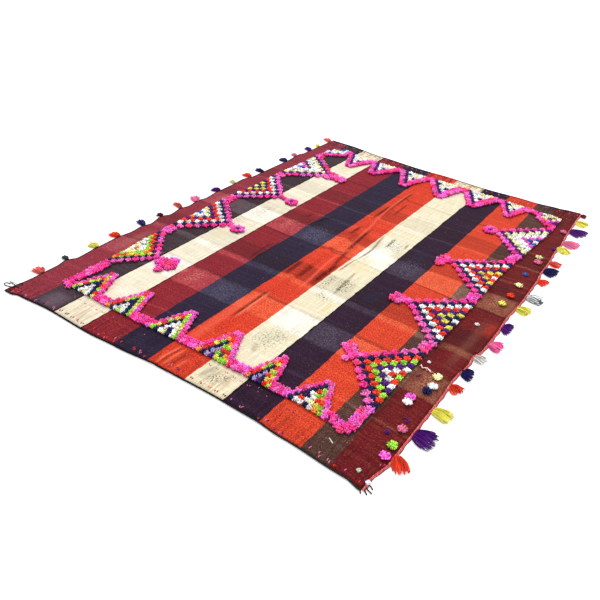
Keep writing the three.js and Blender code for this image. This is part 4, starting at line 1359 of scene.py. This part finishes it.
@dataclass
class YarnLines:
    """Yarns that follow lines, gathered to be made into one mesh."""

    points: list[np.ndarray] = field(default_factory=list)
    radii: list[np.ndarray] = field(default_factory=list)
    colours: list[Colour] = field(default_factory=list)
    shades: list[float] = field(default_factory=list)
    first_reach: float = 0.35  # how far up a pile a line's start would be, for its shade

    def add(self, points: np.ndarray, radius: float | np.ndarray, yarn: Yarn, shade: float = 1.0) -> None:
        """Adds a yarn.

        Args:
            points: Its line, in millimetres of the rug.
            radius: Its radius, the same all along or one for each point.
            yarn: Its colour.
            shade: How light it is beside its fellows.
        """
        line = np.asarray(points, float)
        self.points.append(line)
        self.radii.append(np.broadcast_to(np.asarray(radius, float), (len(line),)))
        self.colours.append(linear(yarn.value))
        self.shades.append(shade)

    def mesh(self, rug: RugFrame) -> Mesh:
        """Makes the lines into a mesh of edges with the yarns' attributes.

        Args:
            rug: Where the rug lies.

        Returns:
            The mesh.
        """
        counts = [len(line) for line in self.points]
        starts = np.cumsum([0] + counts[:-1])
        edges = [(int(s + k), int(s + k + 1)) for s, n in zip(starts, counts) for k in range(n - 1)]
        mesh = bpy.data.meshes.new("yarn_lines")
        mesh.from_pydata(rug.metres(np.concatenate(self.points)).tolist(), edges, [])
        set_values(
            mesh, yarn_radius=np.concatenate(self.radii) * MM, yarn_shade=np.repeat(self.shades, counts),
            yarn_reach=np.concatenate([np.linspace(self.first_reach, 1, n) for n in counts]),
            yarn_colour=np.repeat(np.array(self.colours), counts, axis=0),
        )
        return mesh


def set_values(mesh: Mesh, **columns: np.ndarray) -> None:
    """Stores a number or a linear colour for each point of a mesh.

    Args:
        mesh: The mesh.
        columns: The values, by the attribute's name.
    """
    for name, values in columns.items():
        kind, key = ("FLOAT_COLOR", "color") if np.ndim(values) > 1 else ("FLOAT", "value")
        data = mesh.attributes.new(name, kind, "POINT").data
        data.foreach_set(key, np.asarray(values, np.float32).ravel())


def settle(piece: Piece, slot: str, *nodes: str) -> Piece:
    """Hands a finished piece to the frame.

    Args:
        piece: The piece.
        slot: The record's material slot; not used.
        nodes: The nodes that it stands for.

    Returns:
        The piece.
    """
    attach(piece, BODY)
    if nodes:
        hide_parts(*nodes)
    piece.data.calc_loop_triangles()
    LOG.info("%s: %d triangles", piece.name, len(piece.data.loop_triangles))
    return piece


@dataclass
class WovenGround:
    """The cloth: a thin sheet in its folds, finer across the middle where the creases are."""

    rug: RugFrame
    loom: Loom
    fine: Spot = (440.0, 900.0)
    fine_step: float = 4.0
    coarse_step: float = 12.0
    fuller: float = 1.25  # how much fuller a stain's middle is than a plain slope to its rim
    fading: float = 0.3  # share of a stain's length over which its ends fade
    cut_end: float = 0.25  # how strong it still is at its very ends

    def columns(self) -> np.ndarray:
        """Spaces the grid's columns, closer across the middle.

        Returns:
            Their places across the loom.
        """
        low, high = self.fine
        left = np.linspace(0, low, round(low / self.coarse_step) + 1)
        middle = np.linspace(low, high, round((high - low) / self.fine_step) + 1)
        right = np.linspace(high, WIDTH, round((WIDTH - high) / self.coarse_step) + 1)
        return np.concatenate([left, middle[1:], right[1:]])

    def rows(self) -> np.ndarray:
        """Returns the grid's places along the loom."""
        return np.linspace(0, LENGTH, round(LENGTH / self.coarse_step) + 1)

    def faces(self, across: int, along: int) -> np.ndarray:
        """Lists the faces of the closed sheet.

        Args:
            across: The number of points across.
            along: The number of points along.

        Returns:
            The corners of each face, upper points first, then those of the underside.
        """
        index = np.arange(across * along).reshape(across, along)
        under = index + across * along
        a, b, c, d = index[:-1, :-1], index[1:, :-1], index[1:, 1:], index[:-1, 1:]
        top = np.stack([a, b, c, d], -1).reshape(-1, 4)
        bottom = top[:, ::-1] + across * along
        rims = [
            (index[:, 0], under[:, 0]), (index[-1, :], under[-1, :]),
            (index[::-1, -1], under[::-1, -1]), (index[0, ::-1], under[0, ::-1]),
        ]
        walls = [np.stack([low[:-1], low[1:], high[1:], high[:-1]], -1) for high, low in rims]
        return np.concatenate([top, bottom, *walls])

    def marks(self, stains: Sequence[Mark], x: np.ndarray, y: np.ndarray) -> np.ndarray:
        """Paints stains and creases on the cloth's points.

        Args:
            stains: The stains.
            x: Places across the rug.
            y: Places along it.

        Returns:
            Colours already weighed by their strength, which is the alpha.
        """
        paint = np.zeros((len(x), 4))
        for mark in stains:
            distance, along, length = foot_on(mark.line, x, y)
            ends = smooth(np.minimum(along, length - along) / (self.fading * length) + self.cut_end)
            strength = mark.strength * smooth(self.fuller * (1 - distance / mark.half)) * ends
            over = np.array(linear(mark.colour)) * strength[:, None]
            paint = paint * (1 - strength[:, None]) + over
        return paint

    def build(self, material: Material) -> Piece:
        """Makes the cloth.

        Args:
            material: Its finish.

        Returns:
            The piece.
        """
        columns, rows = self.columns(), self.rows()
        u, v = np.meshgrid(columns, rows, indexing="ij")
        x, y = self.loom.place(u, v)
        low = self.loom.lift(x, y)
        top = np.stack([x, y, low + CLOTH], -1).reshape(-1, 3)
        bottom = np.stack([x, y, low], -1).reshape(-1, 3)
        mesh = bpy.data.meshes.new("woven_cloth")
        points = self.rug.metres(np.concatenate([top, bottom]))
        mesh.from_pydata(points.tolist(), [], self.faces(len(columns), len(rows)).tolist())
        corners = np.zeros(len(mesh.loops), np.int32)
        mesh.loops.foreach_get("vertex_index", corners)
        flat = np.tile(np.stack([u.ravel(), v.ravel()], -1) * MM, (2, 1))
        mesh.uv_layers.new(name="loom").data.foreach_set("uv", flat[corners].astype(np.float32).ravel())
        marks, dots = (self.marks(stains, np.ravel(x), np.ravel(y)) for stains in (MARKS, DOTS))
        set_values(mesh, marks=np.concatenate([marks, marks]), dots=np.concatenate([dots, dots]))
        mesh.polygons.foreach_set("use_smooth", np.ones(len(mesh.polygons), bool))
        mesh.materials.append(material)
        return settle(stand("woven_cloth", mesh), "woven_ground", "woven_ground")


@dataclass
class Assembly:
    """A sub-assembly on the cloth, with where the rug lies, the cloth, and its tree and yarn."""

    rug: RugFrame
    loom: Loom
    tree: YarnTree
    material: Material


@dataclass(frozen=True)
class YarnBundle:
    """The yarns of a cut knot; round is 0 for a square bundle and 1 for a round one."""

    yarns_a_side: int
    yarn_length: float
    yarn_radius: float
    spread: float  # in degrees
    root_share: float  # width of the knot at its root against the whole
    dome: float  # how much shorter the outer yarns are
    bend: float
    ragged: float  # how much the yarns' lengths differ
    round: float = 0.0

    def values(self) -> dict[str, Value]:
        """Returns the inputs of the knots' tree, in metres and radians."""
        sizes = {name: getattr(self, name) * MM for name in ("yarn_length", "yarn_radius", "bend")}
        return {**asdict(self), **sizes, "spread": math.radians(self.spread)}


@dataclass
class CutPile(Assembly):
    """Cut knots that stand on the cloth."""

    bundle: YarnBundle
    turn: float  # how far a knot is turned at most, in radians

    def make(self, name: str, knots: Sequence[Knot], seed: int) -> Piece:
        """Makes knots into one piece.

        Args:
            name: The piece's name.
            knots: The knots.
            seed: The seed of their turns and shades.

        Returns:
            The piece.
        """
        chance = np.random.default_rng(seed)
        x, y, size, _, wide, deep = (np.array(column) for column in zip(*knots))
        mesh = bpy.data.meshes.new("knot_points")
        mesh.from_pydata(self.rug.metres(np.column_stack([x, y, self.loom.top(x, y) + GAP])).tolist(), [], [])
        turns = chance.uniform(-self.turn, self.turn, len(knots))
        shades = chance.uniform(*KNOT_SHADES, len(knots))
        set_values(
            mesh, knot_size=size, knot_wide=wide * MM, knot_deep=deep * MM, knot_turn=turns,
            knot_shade=shades, yarn_colour=np.array([linear(knot.yarn.value) for knot in knots]),
        )
        return self.tree.run(name, mesh, **self.bundle.values(), material=self.material)


@dataclass(kw_only=True)
class PileBorder(CutPile):
    """The knotted border along one side: a pink zigzag, its points filled with coloured knots."""

    stretches: Sequence[Stretch]
    seed: int
    bundle: YarnBundle = YarnBundle(5, 14.5, 1.95, 11.0, root_share=0.56, dome=0.11, bend=1.0, ragged=0.42)
    turn: float = 0.4
    base: float = 10.0  # distance of a motif's first row of knots from the outer line
    cap: float = 9.0  # and of its point from the crest
    side_pitch: float = 20.5  # distance between the pink knots of a straight run along a side
    end_pitch: float = 17.5  # and along an end
    least: float = 13.0  # smallest distance between two knots of different runs
    apart: float = 1.5  # gap between two knots
    astray: float = 1.6  # how far a knot stands out of its place at most
    sizes: Spot = (0.94, 1.06)  # smallest and largest knot against its yarns' length
    swell: float = 1.16  # how much fuller a pink knot is than its place
    back_swell: float = 1.18  # and how much more so in the back row's motifs
    pink_rows: Sequence[Spot] = ((0.0, 0.28), (0.5, 0.75))  # each row's stagger, and its place across a run
    run_depth: float = 39.0  # greatest depth of a straight run

    def __post_init__(self) -> None:
        """Sets the side, the rows of its border and the source of its random numbers."""
        self.side = self.stretches[0].side
        self.rows = np.array(PILE_ROWS[self.side])
        self.chance = np.random.default_rng(self.seed)

    def border_at(self, along: float) -> tuple[float, float]:
        """Returns where the border's outer line and its crest lie at a place along the side."""
        outer, crest = (float(np.interp(along, self.rows[:, 0], self.rows[:, column])) for column in (1, 2))
        return outer, crest

    def set_knot(self, place: Spot, yarn: Yarn, size: Spot, free: bool = False) -> Knot:
        """Sets one knot a little out of place.

        Args:
            place: Its place along the side and across it.
            yarn: Its yarn.
            size: Its width along the side and across it.
            free: Whether both are given across the rug and along it instead.

        Returns:
            The knot.
        """
        shift = self.chance.uniform(-self.astray, self.astray, 2)
        spot = (place[0] + shift[0], place[1] + shift[1])
        order = -1 if self.side.along_y and not free else 1
        wide, deep = size[::order]
        uneven = self.chance.uniform(*self.sizes)
        return Knot(*spot[::order], uneven, yarn, wide - self.apart, deep - self.apart)

    def pink(self) -> Yarn:
        """Returns one of the pinks of the zigzag."""
        return list(ZIGZAG_PINKS)[self.chance.choice(len(ZIGZAG_PINKS), p=list(ZIGZAG_PINKS.values()))]

    def motif_knots(self, motif: Motif) -> list[Knot]:
        """Sets one motif, row by row from the outer line, each shorter than the last.

        Along a side its rows are square to each other, and along an end they are staggered.

        Args:
            motif: The motif.

        Returns:
            The knots.
        """
        lose = 2 if self.side.along_y else 1
        rings = len(motif.rings)
        last = 2 * rings // lose - (0 if self.side.along_y else 1)
        outer, crest = self.border_at(motif.point)
        inward = np.sign(crest - outer)
        step = (abs(crest - outer) - self.base - self.cap) / last
        before, after = (motif.core - motif.low) / rings, (motif.high - motif.core) / rings
        swell = self.swell * (self.back_swell if self.side is Side.BACK else 1.0)
        knots = []
        for k in range(last + 1):
            count = 2 * rings + 1 - lose * k
            middle = motif.core + (motif.point - motif.core) * k / last
            for i in range(count):
                place = i - (count - 1) / 2
                pitch = before if place < 0 else after
                along = middle + place * pitch
                across = self.border_at(along)[0] + inward * (self.base + k * step)
                ring = min(i, count - 1 - i)
                fills = motif.far if place > 0 and motif.far else motif.rings
                fill = fills[ring - 1] if ring else PINK_FILL
                yarn = fill[(i + 2 * k) % len(fill)] if fill else self.pink()
                size = (pitch, step) if fill else (swell * pitch, swell * step)
                knots.append(self.set_knot((along, across), yarn, size))
        return knots

    def run_knots(self, start: float, end: float) -> list[Knot]:
        """Sets the two staggered pink rows of a straight run between two motifs.

        Args:
            start: Where the motif before it ends.
            end: Where the motif after it starts.

        Returns:
            The knots.
        """
        steps = max(1, round((end - start) / (self.side_pitch if self.side.along_y else self.end_pitch)))
        step = (end - start) / steps
        knots = []
        for j, share in self.pink_rows:
            for k in range(steps + 1 - math.ceil(j)):
                along = start + (k + j) * step
                outer, crest = self.border_at(along)
                deep = min(abs(crest - outer), self.run_depth)
                across = outer + np.sign(crest - outer) * share * deep
                size = (self.swell * step, self.swell * 0.5 * deep)
                knots.append(self.set_knot((along, across), self.pink(), size))
        return knots

    def patch_knots(self, patch: Patch) -> list[Knot]:
        """Fills a corner of the back row, pink along its crest.

        Args:
            patch: The corner.

        Returns:
            The knots.
        """
        count = round((patch.end - patch.start) / self.end_pitch)
        step = (patch.end - patch.start) / count
        knots = []
        for k in range(count):
            along = patch.start + (k + 0.5) * step
            outer, crest = self.border_at(along)
            deep = max(1, round(abs(crest - outer) / self.end_pitch))
            beside = k == count - 1 if along < WIDTH / 2 else k == 0
            for j in range(deep):
                plain = j >= deep - 2 or beside
                yarn = self.pink() if plain else patch.yarns[self.chance.integers(len(patch.yarns))]
                across = outer + (crest - outer) * (j + 0.5) / deep
                knots.append(self.set_knot((along, across), yarn, (step, abs(crest - outer) / deep)))
        return knots

    def tail_knots(self, tail: Tail) -> list[Knot]:
        """Sets the knots that lead to a knob, and the knob's ring.

        Args:
            tail: The tail.

        Returns:
            The knots.
        """
        half = np.array(tail.half)
        ring = round(math.pi * half.sum() / self.side_pitch)
        turns = [2 * math.pi * k / ring for k in range(ring)]
        knob = [np.array(tail.middle) + half * (math.cos(turn), math.sin(turn)) for turn in turns]
        full = (self.swell * self.side_pitch,) * 2
        knots = [self.set_knot(spot, self.pink(), full, free=True) for spot in [*tail.neck, *knob]]
        if ring:
            knots.append(self.set_knot(tail.middle, tail.centre, full, free=True))
        return knots

    def side_knots(self) -> list[Knot]:
        """Lists the knots along the side, its tails left out.

        Returns:
            The knots.
        """
        motifs = [motif for stretch in self.stretches for motif in stretch.motifs]
        patches = CORNER_PATCHES if self.side is Side.BACK else []
        full = (self.swell * self.end_pitch,) * 2
        knots = [knot for motif in motifs for knot in self.motif_knots(motif)]
        for spot in CORNER_KNOTS.get(self.side, []):
            knots.append(self.set_knot(spot[::-1] if self.side.along_y else spot, self.pink(), full))
        knots += [knot for patch in patches for knot in self.patch_knots(patch)]
        first = patches[0].end if patches else self.rows[0, 0] + self.base
        last = patches[-1].start if patches else self.rows[-1, 0] - self.base
        starts = [first] + [motif.high for motif in motifs]
        ends = [motif.low for motif in motifs] + [last]
        for start, end in zip(starts, ends):
            for knot in self.run_knots(start, end) if end > start else []:
                if all(math.hypot(knot.x - other.x, knot.y - other.y) > self.least for other in knots):
                    knots.append(knot)
        return knots

    def build(self) -> list[Piece]:
        """Makes the border along the side.

        Returns:
            A piece for each stretch.
        """
        every = self.side_knots()
        made = []
        for stretch in self.stretches:
            low = -math.inf if stretch is self.stretches[0] else stretch.start
            high = math.inf if stretch is self.stretches[-1] else stretch.end
            own = [knot for knot in every if low <= (knot.y if self.side.along_y else knot.x) < high]
            if stretch.tail:
                own += self.tail_knots(stretch.tail)
            made.append(settle(self.make(f"{stretch.node}_knots", own, self.seed), "pile_yarn", stretch.node))
        return made


@dataclass(kw_only=True)
class SurfaceTufts(CutPile):
    """Loose tufts of yarn sewn on the right-hand stripe."""

    bundle: YarnBundle = YarnBundle(
        6, 14.0, 2.2, 27.0, root_share=0.62, dome=0.12, bend=2.0, ragged=0.4, round=1.0
    )
    turn: float = math.pi
    wide: float = 23.0

    def build(self) -> list[Piece]:
        """Makes all the tufts, the smallest ones as one piece.

        Returns:
            The pieces.
        """
        made = []
        for k, tuft in enumerate(TUFTS, start=1):
            yarns = tuft.yarns * len(tuft.at)
            knots = [Knot(x, y, 1.0, yarn, self.wide, self.wide) for (x, y), yarn in zip(tuft.at, yarns)]
            piece = self.make(f"surface_tuft_{k}", knots, SEED + k)
            made.append(settle(piece, f"yarn_{tuft.slot.name.lower()}", f"tuft_{k}"))
        made.append(settle(self.make("small_tufts", SMALL_TUFTS, SEED), "yarn_white"))
        return made


@dataclass
class SideTassels(Assembly):
    """The tassels along both sides: soft bundles of thick yarn, sewn on by their heads, on the floor."""

    least_yarns: int = 18
    yarns_a_breadth: float = 0.42  # how many more for each millimetre of breadth
    yarn_radius: float = 1.9
    thickness: Sequence[float] = (0.95, 1.05, 0.85)  # of a yarn at its root, near its tip and at its tip
    near_tip: float = 0.8
    lengths: Spot = (0.66, 1.0)  # shortest and longest yarn against the tassel
    rounding: float = 0.14  # how much shorter the outer yarns are
    spread: Sequence[float] = (0.55, 0.84, 1.0, 1.04, 1.02)  # breadth from the root to the tips
    crown: Sequence[float] = (9.0, 14.0, 13.5, 9.0)  # height of its middle from the root to the tips
    side_height: float = 0.15  # least share of that height at its sides, squared
    waves: Spot = (1.2, 3.6)  # how far a yarn waves aside at its tip
    wave_turn: float = 4.5  # and through what angle along it
    streaked: float = 0.35  # share of the yarns in the second colour
    shades: Spot = (0.55, 1.35)
    low_shade: float = 0.55  # shade of the lowest yarns
    points: int = 7

    def root(self, outward: int, y: float) -> float:
        """Finds where the outer face of the side's cord lies.

        Args:
            outward: 1 on the right side and -1 on the left.
            y: The place along the rug.

        Returns:
            The place across it.
        """
        edge, radius = (RIGHT_EDGE, SIDE_CORD) if outward > 0 else (LEFT_EDGE, SELVEDGE_CORD)
        out = float(out_at(edge, np.array([y]))[0])
        return (WIDTH + out if outward > 0 else -out) + outward * 2 * (GAP + radius)

    def lines(self, tassel: Tassel, outward: int, seed: int) -> YarnLines:
        """Lays the yarns of one tassel.

        Args:
            tassel: The tassel.
            outward: 1 on the right side and -1 on the left.
            seed: The seed of its unevenness.

        Returns:
            The yarns.
        """
        chance = np.random.default_rng(seed)
        heading = math.radians(tassel.turn if outward > 0 else 180 - tassel.turn)
        way = np.array([math.cos(heading), math.sin(heading)])
        side = np.array([-way[1], way[0]])
        root = np.array([self.root(outward, tassel.along), tassel.along])
        share = np.linspace(0, 1, self.points)
        crown = np.interp(share, np.linspace(0, 1, len(self.crown)), self.crown)
        fans = np.linspace(0, 1, len(self.spread))
        thick = self.yarn_radius * np.interp(share, [0, self.near_tip, 1], self.thickness)
        count = round(self.least_yarns + self.yarns_a_breadth * tassel.breadth)
        gathered = YarnLines()
        for k in range(count):
            spin, ring = GOLDEN_ANGLE * k, math.sqrt((k + 0.5) / count)
            wide, high = ring * math.cos(spin), 0.5 + 0.5 * ring * math.sin(spin)
            out = share * tassel.reach * chance.uniform(*self.lengths) * (1 - self.rounding * wide**2)
            fan = tassel.breadth / 2 * np.interp(out / tassel.reach, fans, self.spread)
            wave = chance.uniform(*self.waves)
            wave = wave * np.sin(chance.uniform(0, 2 * math.pi) + self.wave_turn * share) * share
            across = wide * (fan - self.yarn_radius) + wave
            up = thick + high * (crown - 2 * thick) * math.sqrt(max(self.side_height, 1 - wide**2))
            spot = root + np.outer(out, way) + np.outer(across, side)
            second = tassel.streak and chance.random() < self.streaked
            shade = chance.uniform(*self.shades) * (self.low_shade + 0.5 * high)
            gathered.add(np.column_stack([spot, up]), thick, tassel.streak if second else tassel.yarn, shade)
        return gathered

    def build(self) -> list[Piece]:
        """Makes the tassels of both sides.

        Returns:
            The pieces.
        """
        made = []
        for name, tassels, outward in (("left", LEFT_TASSELS, -1), ("right", RIGHT_TASSELS, 1)):
            for k, tassel in enumerate(tassels, start=1):
                lines = self.lines(tassel, outward, 100 * (outward + 2) + k)
                mesh = lines.mesh(self.rug)
                piece = self.tree.run(f"{name}_tassel_{k}", mesh, sides=4, material=self.material)
                made.append(settle(piece, f"yarn_{tassel.yarn.name.lower()}", f"tassel_{name}_{k}"))
        return made


@dataclass
class CordedEdges(Assembly):
    """The twisted cord on the right side and the overcast cords on the left side and at both ends."""

    twist: float = 16.0  # length of one turn of the right cord
    ply: float = 2.0
    ply_offset: float = 1.5
    wrap: float = 4.2  # length of one turn of an overcast edge
    wrap_yarn: float = 0.9
    core_shade: float = 0.7
    turn_points: int = 6
    edge_points: int = 240
    sway: float = 1.2  # how far the right cord sways
    sway_long: float = 52.0  # and over what length

    def edge(self, u: float | None, v: float | None) -> np.ndarray:
        """Follows an edge of the cloth.

        Args:
            u: The edge's place across the loom, or None for an end.
            v: The edge's place along the loom, or None for a side.

        Returns:
            Points on the floor.
        """
        count = self.edge_points
        across = np.linspace(0, WIDTH, count) if u is None else np.full(count, u)
        along = np.linspace(0, LENGTH, count) if v is None else np.full(count, v)
        x, y = self.loom.place(across, along)
        return np.stack([x, y, self.loom.lift(x, y)], -1)

    def helix(self, line: np.ndarray, radius: float, pitch: float, start: float) -> np.ndarray:
        """Winds a line round another.

        Args:
            line: The line in the middle.
            radius: The distance from it.
            pitch: The length of one turn.
            start: The angle at which it starts.

        Returns:
            The winding line.
        """
        steps = np.diff(line, axis=0)
        passed = np.concatenate([[0], np.cumsum(np.linalg.norm(steps, axis=1))])
        count = round(passed[-1] / pitch * self.turn_points)
        at = np.linspace(0, passed[-1], count)
        middle = np.stack([np.interp(at, passed, line[:, k]) for k in range(3)], -1)
        way = np.gradient(middle, axis=0)
        way /= np.linalg.norm(way, axis=1)[:, None]
        upward = np.array([0.0, 0.0, 1.0])
        side = np.cross(way, upward)
        angle = start + 2 * math.pi * at / pitch
        return middle + radius * (np.cos(angle)[:, None] * side + np.sin(angle)[:, None] * upward)

    def twisted(self, line: np.ndarray) -> YarnLines:
        """Winds the two plies of the right cord, and lays a thin dark yarn along its outer foot on the floor.

        Args:
            line: The cord's line.

        Returns:
            The yarns.
        """
        made = YarnLines()
        swaying = line + np.outer(np.sin(2 * math.pi * line[:, 1] / self.sway_long), (self.sway, 0, 0))
        for start, yarn in ((0.0, Yarn.CORAL), (math.pi, Yarn.CHERRY)):
            made.add(self.helix(swaying, self.ply_offset, self.twist, start), self.ply, yarn)
        # a thin dark yarn along the cord's outer foot, on the floor
        made.add(swaying + (SIDE_CORD, 0, self.wrap_yarn - SIDE_CORD), self.wrap_yarn, Yarn.OXBLOOD)
        return made

    def overcast(self, line: np.ndarray, radius: float, yarns: Sequence[Yarn]) -> YarnLines:
        """Winds yarn round a core, one yarn along the whole of it or one for each stripe.

        Args:
            line: The core's line.
            radius: The radius outside.
            yarns: The yarn, or one for each stripe.

        Returns:
            The yarns.
        """
        made = YarnLines()
        starts = [0.0] + [row.to for row in STRIPES[:-1]] if len(yarns) > 1 else [0.0]
        cuts = [round(start / WIDTH * (len(line) - 1)) for start in starts] + [len(line) - 1]
        for yarn, low, high in zip(yarns, cuts, cuts[1:]):
            leg = line[low:high + 1]
            made.add(leg, radius - self.wrap_yarn, yarn, self.core_shade)
            made.add(self.helix(leg, radius - self.wrap_yarn, self.wrap, 0.0), self.wrap_yarn, yarn)
        return made

    def build(self) -> list[Piece]:
        """Makes the four edges.

        Returns:
            The pieces.
        """
        edges = [
            ("right_side_cord", "side_cord_yarn", (WIDTH, None), (GAP + SIDE_CORD, 0, SIDE_CORD), []),
            ("left_side_cord", "selvedge_yarn", (0.0, None), (-GAP - SELVEDGE_CORD, 0, SELVEDGE_CORD),
             [Yarn.OXBLOOD]),
            ("front_end_binding", "end_binding_yarn", (None, 0.0), (0, -GAP - END_BINDING, END_BINDING),
             [Yarn.BLACK]),
            ("back_end_binding", "end_binding_yarn", (None, LENGTH), (0, GAP + END_BINDING, END_BINDING),
             BACK_BINDING),
        ]
        made = []
        for node, slot, place, offset, yarns in edges:
            line = self.edge(*place) + offset
            lines = self.overcast(line, offset[2], yarns) if yarns else self.twisted(line)
            piece = self.tree.run(f"{node}_yarns", lines.mesh(self.rug), sides=4, material=self.material)
            made.append(settle(piece, slot, node))
        return made


@dataclass
class LooseYarns(Assembly):
    """What is sewn or caught on the cloth: rows of stitches near the ends, stray yarns and corner ends."""

    rows: Sequence[Spot] = ((18.0, 1.0), (97.0, 0.6))  # distance of a row from an end, and its size
    pair: float = 26.0  # distance between pairs of stitches
    between: float = 7.0  # and between the two of a pair
    kept: float = 0.8  # share of the stitches that are left on the dark stripes
    shift: float = 4.0  # how far a pair is out of its place across the rug
    cream_shift: float = 3.0  # how far a stitch is out of its row on the cream stripes
    dark_shift: float = 10.5  # and on the others
    lengths: Spot = (6.0, 11.0)
    lean: float = 2.0  # how far a stitch's ends stand aside
    sunk: float = 2.56  # and how deep they lie in the cloth
    radius: float = 1.6
    floor_height: float = 2.6  # of the yarn ends that lie beside the cloth

    def on_cloth(self, points: Sequence[Spot], high: float = 0.0) -> np.ndarray:
        """Lays a line on the cloth's upper face.

        Args:
            points: Its places across the rug and along it.
            high: How far above the cloth it is.

        Returns:
            Its points.
        """
        flat = np.array(points, float)
        up = self.loom.top(flat[:, 0], flat[:, 1]) + self.radius + high
        return np.column_stack([flat, up])

    def stitch(self, u: float, v: float, size: float, chance: Chance) -> np.ndarray:
        """Lays one stitch, its ends sunk in the cloth.

        Args:
            u: Its place across the loom.
            v: Its place along it.
            size: Its size.
            chance: The source of random numbers.

        Returns:
            Its line.
        """
        halves = np.array([-0.5, 0, 0.5]) * chance.uniform(*self.lengths) * size
        line = self.on_cloth(list(zip(*self.loom.place(np.full(3, u), v + halves))))
        line[[0, -1], 2] -= self.sunk
        line[:, 0] += np.linspace(-1, 1, 3) * chance.uniform(-self.lean, self.lean)
        return line

    def stitches(self) -> YarnLines:
        """Sews the short stitches in rows near both ends.

        Returns:
            The yarns.
        """
        chance = np.random.default_rng(SEED)
        made = YarnLines()
        rows = [*self.rows, *((LENGTH - row, size) for row, size in self.rows)]
        start = 0.0
        for stripe in STRIPES:
            cream = "cream" in stripe.name
            yarns, uneven = (CREAM_STITCHES, self.cream_shift) if cream else (DARK_STITCHES, self.dark_shift)
            for v, size in rows:
                count = int((stripe.to - start) / self.pair)
                for k in range(count):
                    if not cream and chance.random() > self.kept * size:
                        continue
                    u = start + (k + 0.5) * (stripe.to - start) / count
                    u += chance.uniform(-self.shift, self.shift)
                    for beside in (0.0, self.between):
                        line = self.stitch(u + beside, v + chance.uniform(-uneven, uneven), size, chance)
                        made.add(line, self.radius * size, yarns[chance.integers(len(yarns))])
            start = stripe.to
        return made

    def strays(self) -> YarnLines:
        """Lays the stray yarns, the loops beside the tufts and the yarn ends at the corners.

        Returns:
            The yarns.
        """
        made = YarnLines()
        for stray in STRAYS:
            points = self.on_cloth(stray.line, stray.high)
            outside = (points[:, 0] < 0) | (points[:, 0] > WIDTH) | (points[:, 1] < 0)
            points[outside, 2] = self.floor_height
            made.add(points, stray.radius, stray.yarn)
        return made

    def build(self) -> list[Piece]:
        """Makes the stitches and the stray yarns.

        Returns:
            The pieces.
        """
        stitches, strays = self.stitches().mesh(self.rug), self.strays().mesh(self.rug)
        return [
            settle(self.tree.run("end_stitches", stitches, sides=4, material=self.material), "yarn_coral"),
            settle(self.tree.run("stray_yarns", strays, sides=5, material=self.material), "yarn_purple"),
        ]


@dataclass(frozen=True)
class Studio:
    """The pale floor, the soft light and the camera."""

    rug: RugFrame
    eye: Triple = (1728.1, -1003.9, 1201.1)
    aim: Triple = (769.6, 585.5, 0.0)
    roll: float = 5.3  # how far the camera leans, in degrees
    lens: float = 39.05
    floor_size: float = 30.0
    floor_depth: float = 0.0005
    sun_way: Triple = (0.55, -0.55, -1.0)
    sun_strength: float = 1.6
    sun_softness: float = 28.0
    sky_strength: float = 0.84

    def camera(self) -> None:
        """Sets the camera at the photograph's angle."""
        data = bpy.data.cameras.new("camera")
        data.lens = self.lens
        camera = stand("camera", data)
        eye, aim = self.rug.metres(np.array([self.eye, self.aim]))
        turn = (Vector(aim) - Vector(eye)).to_track_quat("-Z", "Y").to_matrix()
        lean = Matrix.Rotation(math.radians(self.roll), 3, "Z")
        camera.matrix_world = Matrix.Translation(eye) @ (turn @ lean).to_4x4()
        bpy.context.scene.camera = camera

    def lights(self) -> None:
        """Sets a bright sky and a soft lamp from the back left."""
        world = bpy.data.worlds.new("studio")
        world.use_nodes = True
        background = world.node_tree.nodes["Background"]
        background.inputs["Color"].default_value = (1.0, 1.0, 1.0, 1.0)
        background.inputs["Strength"].default_value = self.sky_strength
        bpy.context.scene.world = world
        data = bpy.data.lights.new("soft_lamp", "SUN")
        data.energy = self.sun_strength
        data.angle = math.radians(self.sun_softness)
        aimed = Vector(self.sun_way).to_track_quat("-Z", "Y")
        stand("soft_lamp", data).rotation_euler = aimed.to_euler()

    def floor(self, material: Material) -> None:
        """Lays the floor.

        Args:
            material: Its finish.
        """
        half = self.floor_size / 2
        mesh = bpy.data.meshes.new("floor")
        corners = [(-half, -half), (half, -half), (half, half), (-half, half)]
        mesh.from_pydata([(x, y, -self.floor_depth) for x, y in corners], [], [(0, 1, 2, 3)])
        mesh.materials.append(material)
        floor = stand("floor", mesh)

    def build(self, material: Material) -> None:
        """Sets up the whole studio.

        Args:
            material: The floor's finish.
        """
        self.camera()
        self.lights()
        self.floor(material)
        bpy.context.scene.view_settings.view_transform = "Standard"


def main() -> None:
    """Builds the rug and its studio in order."""
    logging.basicConfig(level=logging.INFO, format="%(name)s: %(message)s")
    rug, loom = RugFrame.from_nodes(), Loom()
    Studio(rug).build(PaperBackdrop().build())
    knots, lines = CutKnotTree(), YarnLineTree()
    pile_wool = SpunWool("thick_spun_wool", root_shade=0.36, frost=0.5).build()
    edge_wool = SpunWool("twisted_spun_wool", root_shade=0.95).build()
    tassel_wool = SpunWool("loose_spun_wool", root_shade=0.7).build()
    pieces = []
    for k, side in enumerate((LEFT_STRETCHES, RIGHT_STRETCHES, [FRONT_STRETCH], [BACK_STRETCH])):
        border = PileBorder(rug, loom, knots, pile_wool, stretches=side, seed=SEED + 10 * k)
        pieces += border.build()
    pieces += SurfaceTufts(rug, loom, knots, tassel_wool).build()
    pieces += SideTassels(rug, loom, lines, tassel_wool).build()
    pieces += CordedEdges(rug, loom, lines, edge_wool).build()
    pieces += LooseYarns(rug, loom, lines, edge_wool).build()
    cloth = WovenGround(rug, loom).build(WarpFacedWool().build())
    LOG.info("%d pieces on the cloth", len(pieces))


if __name__ == "__main__":
    main()
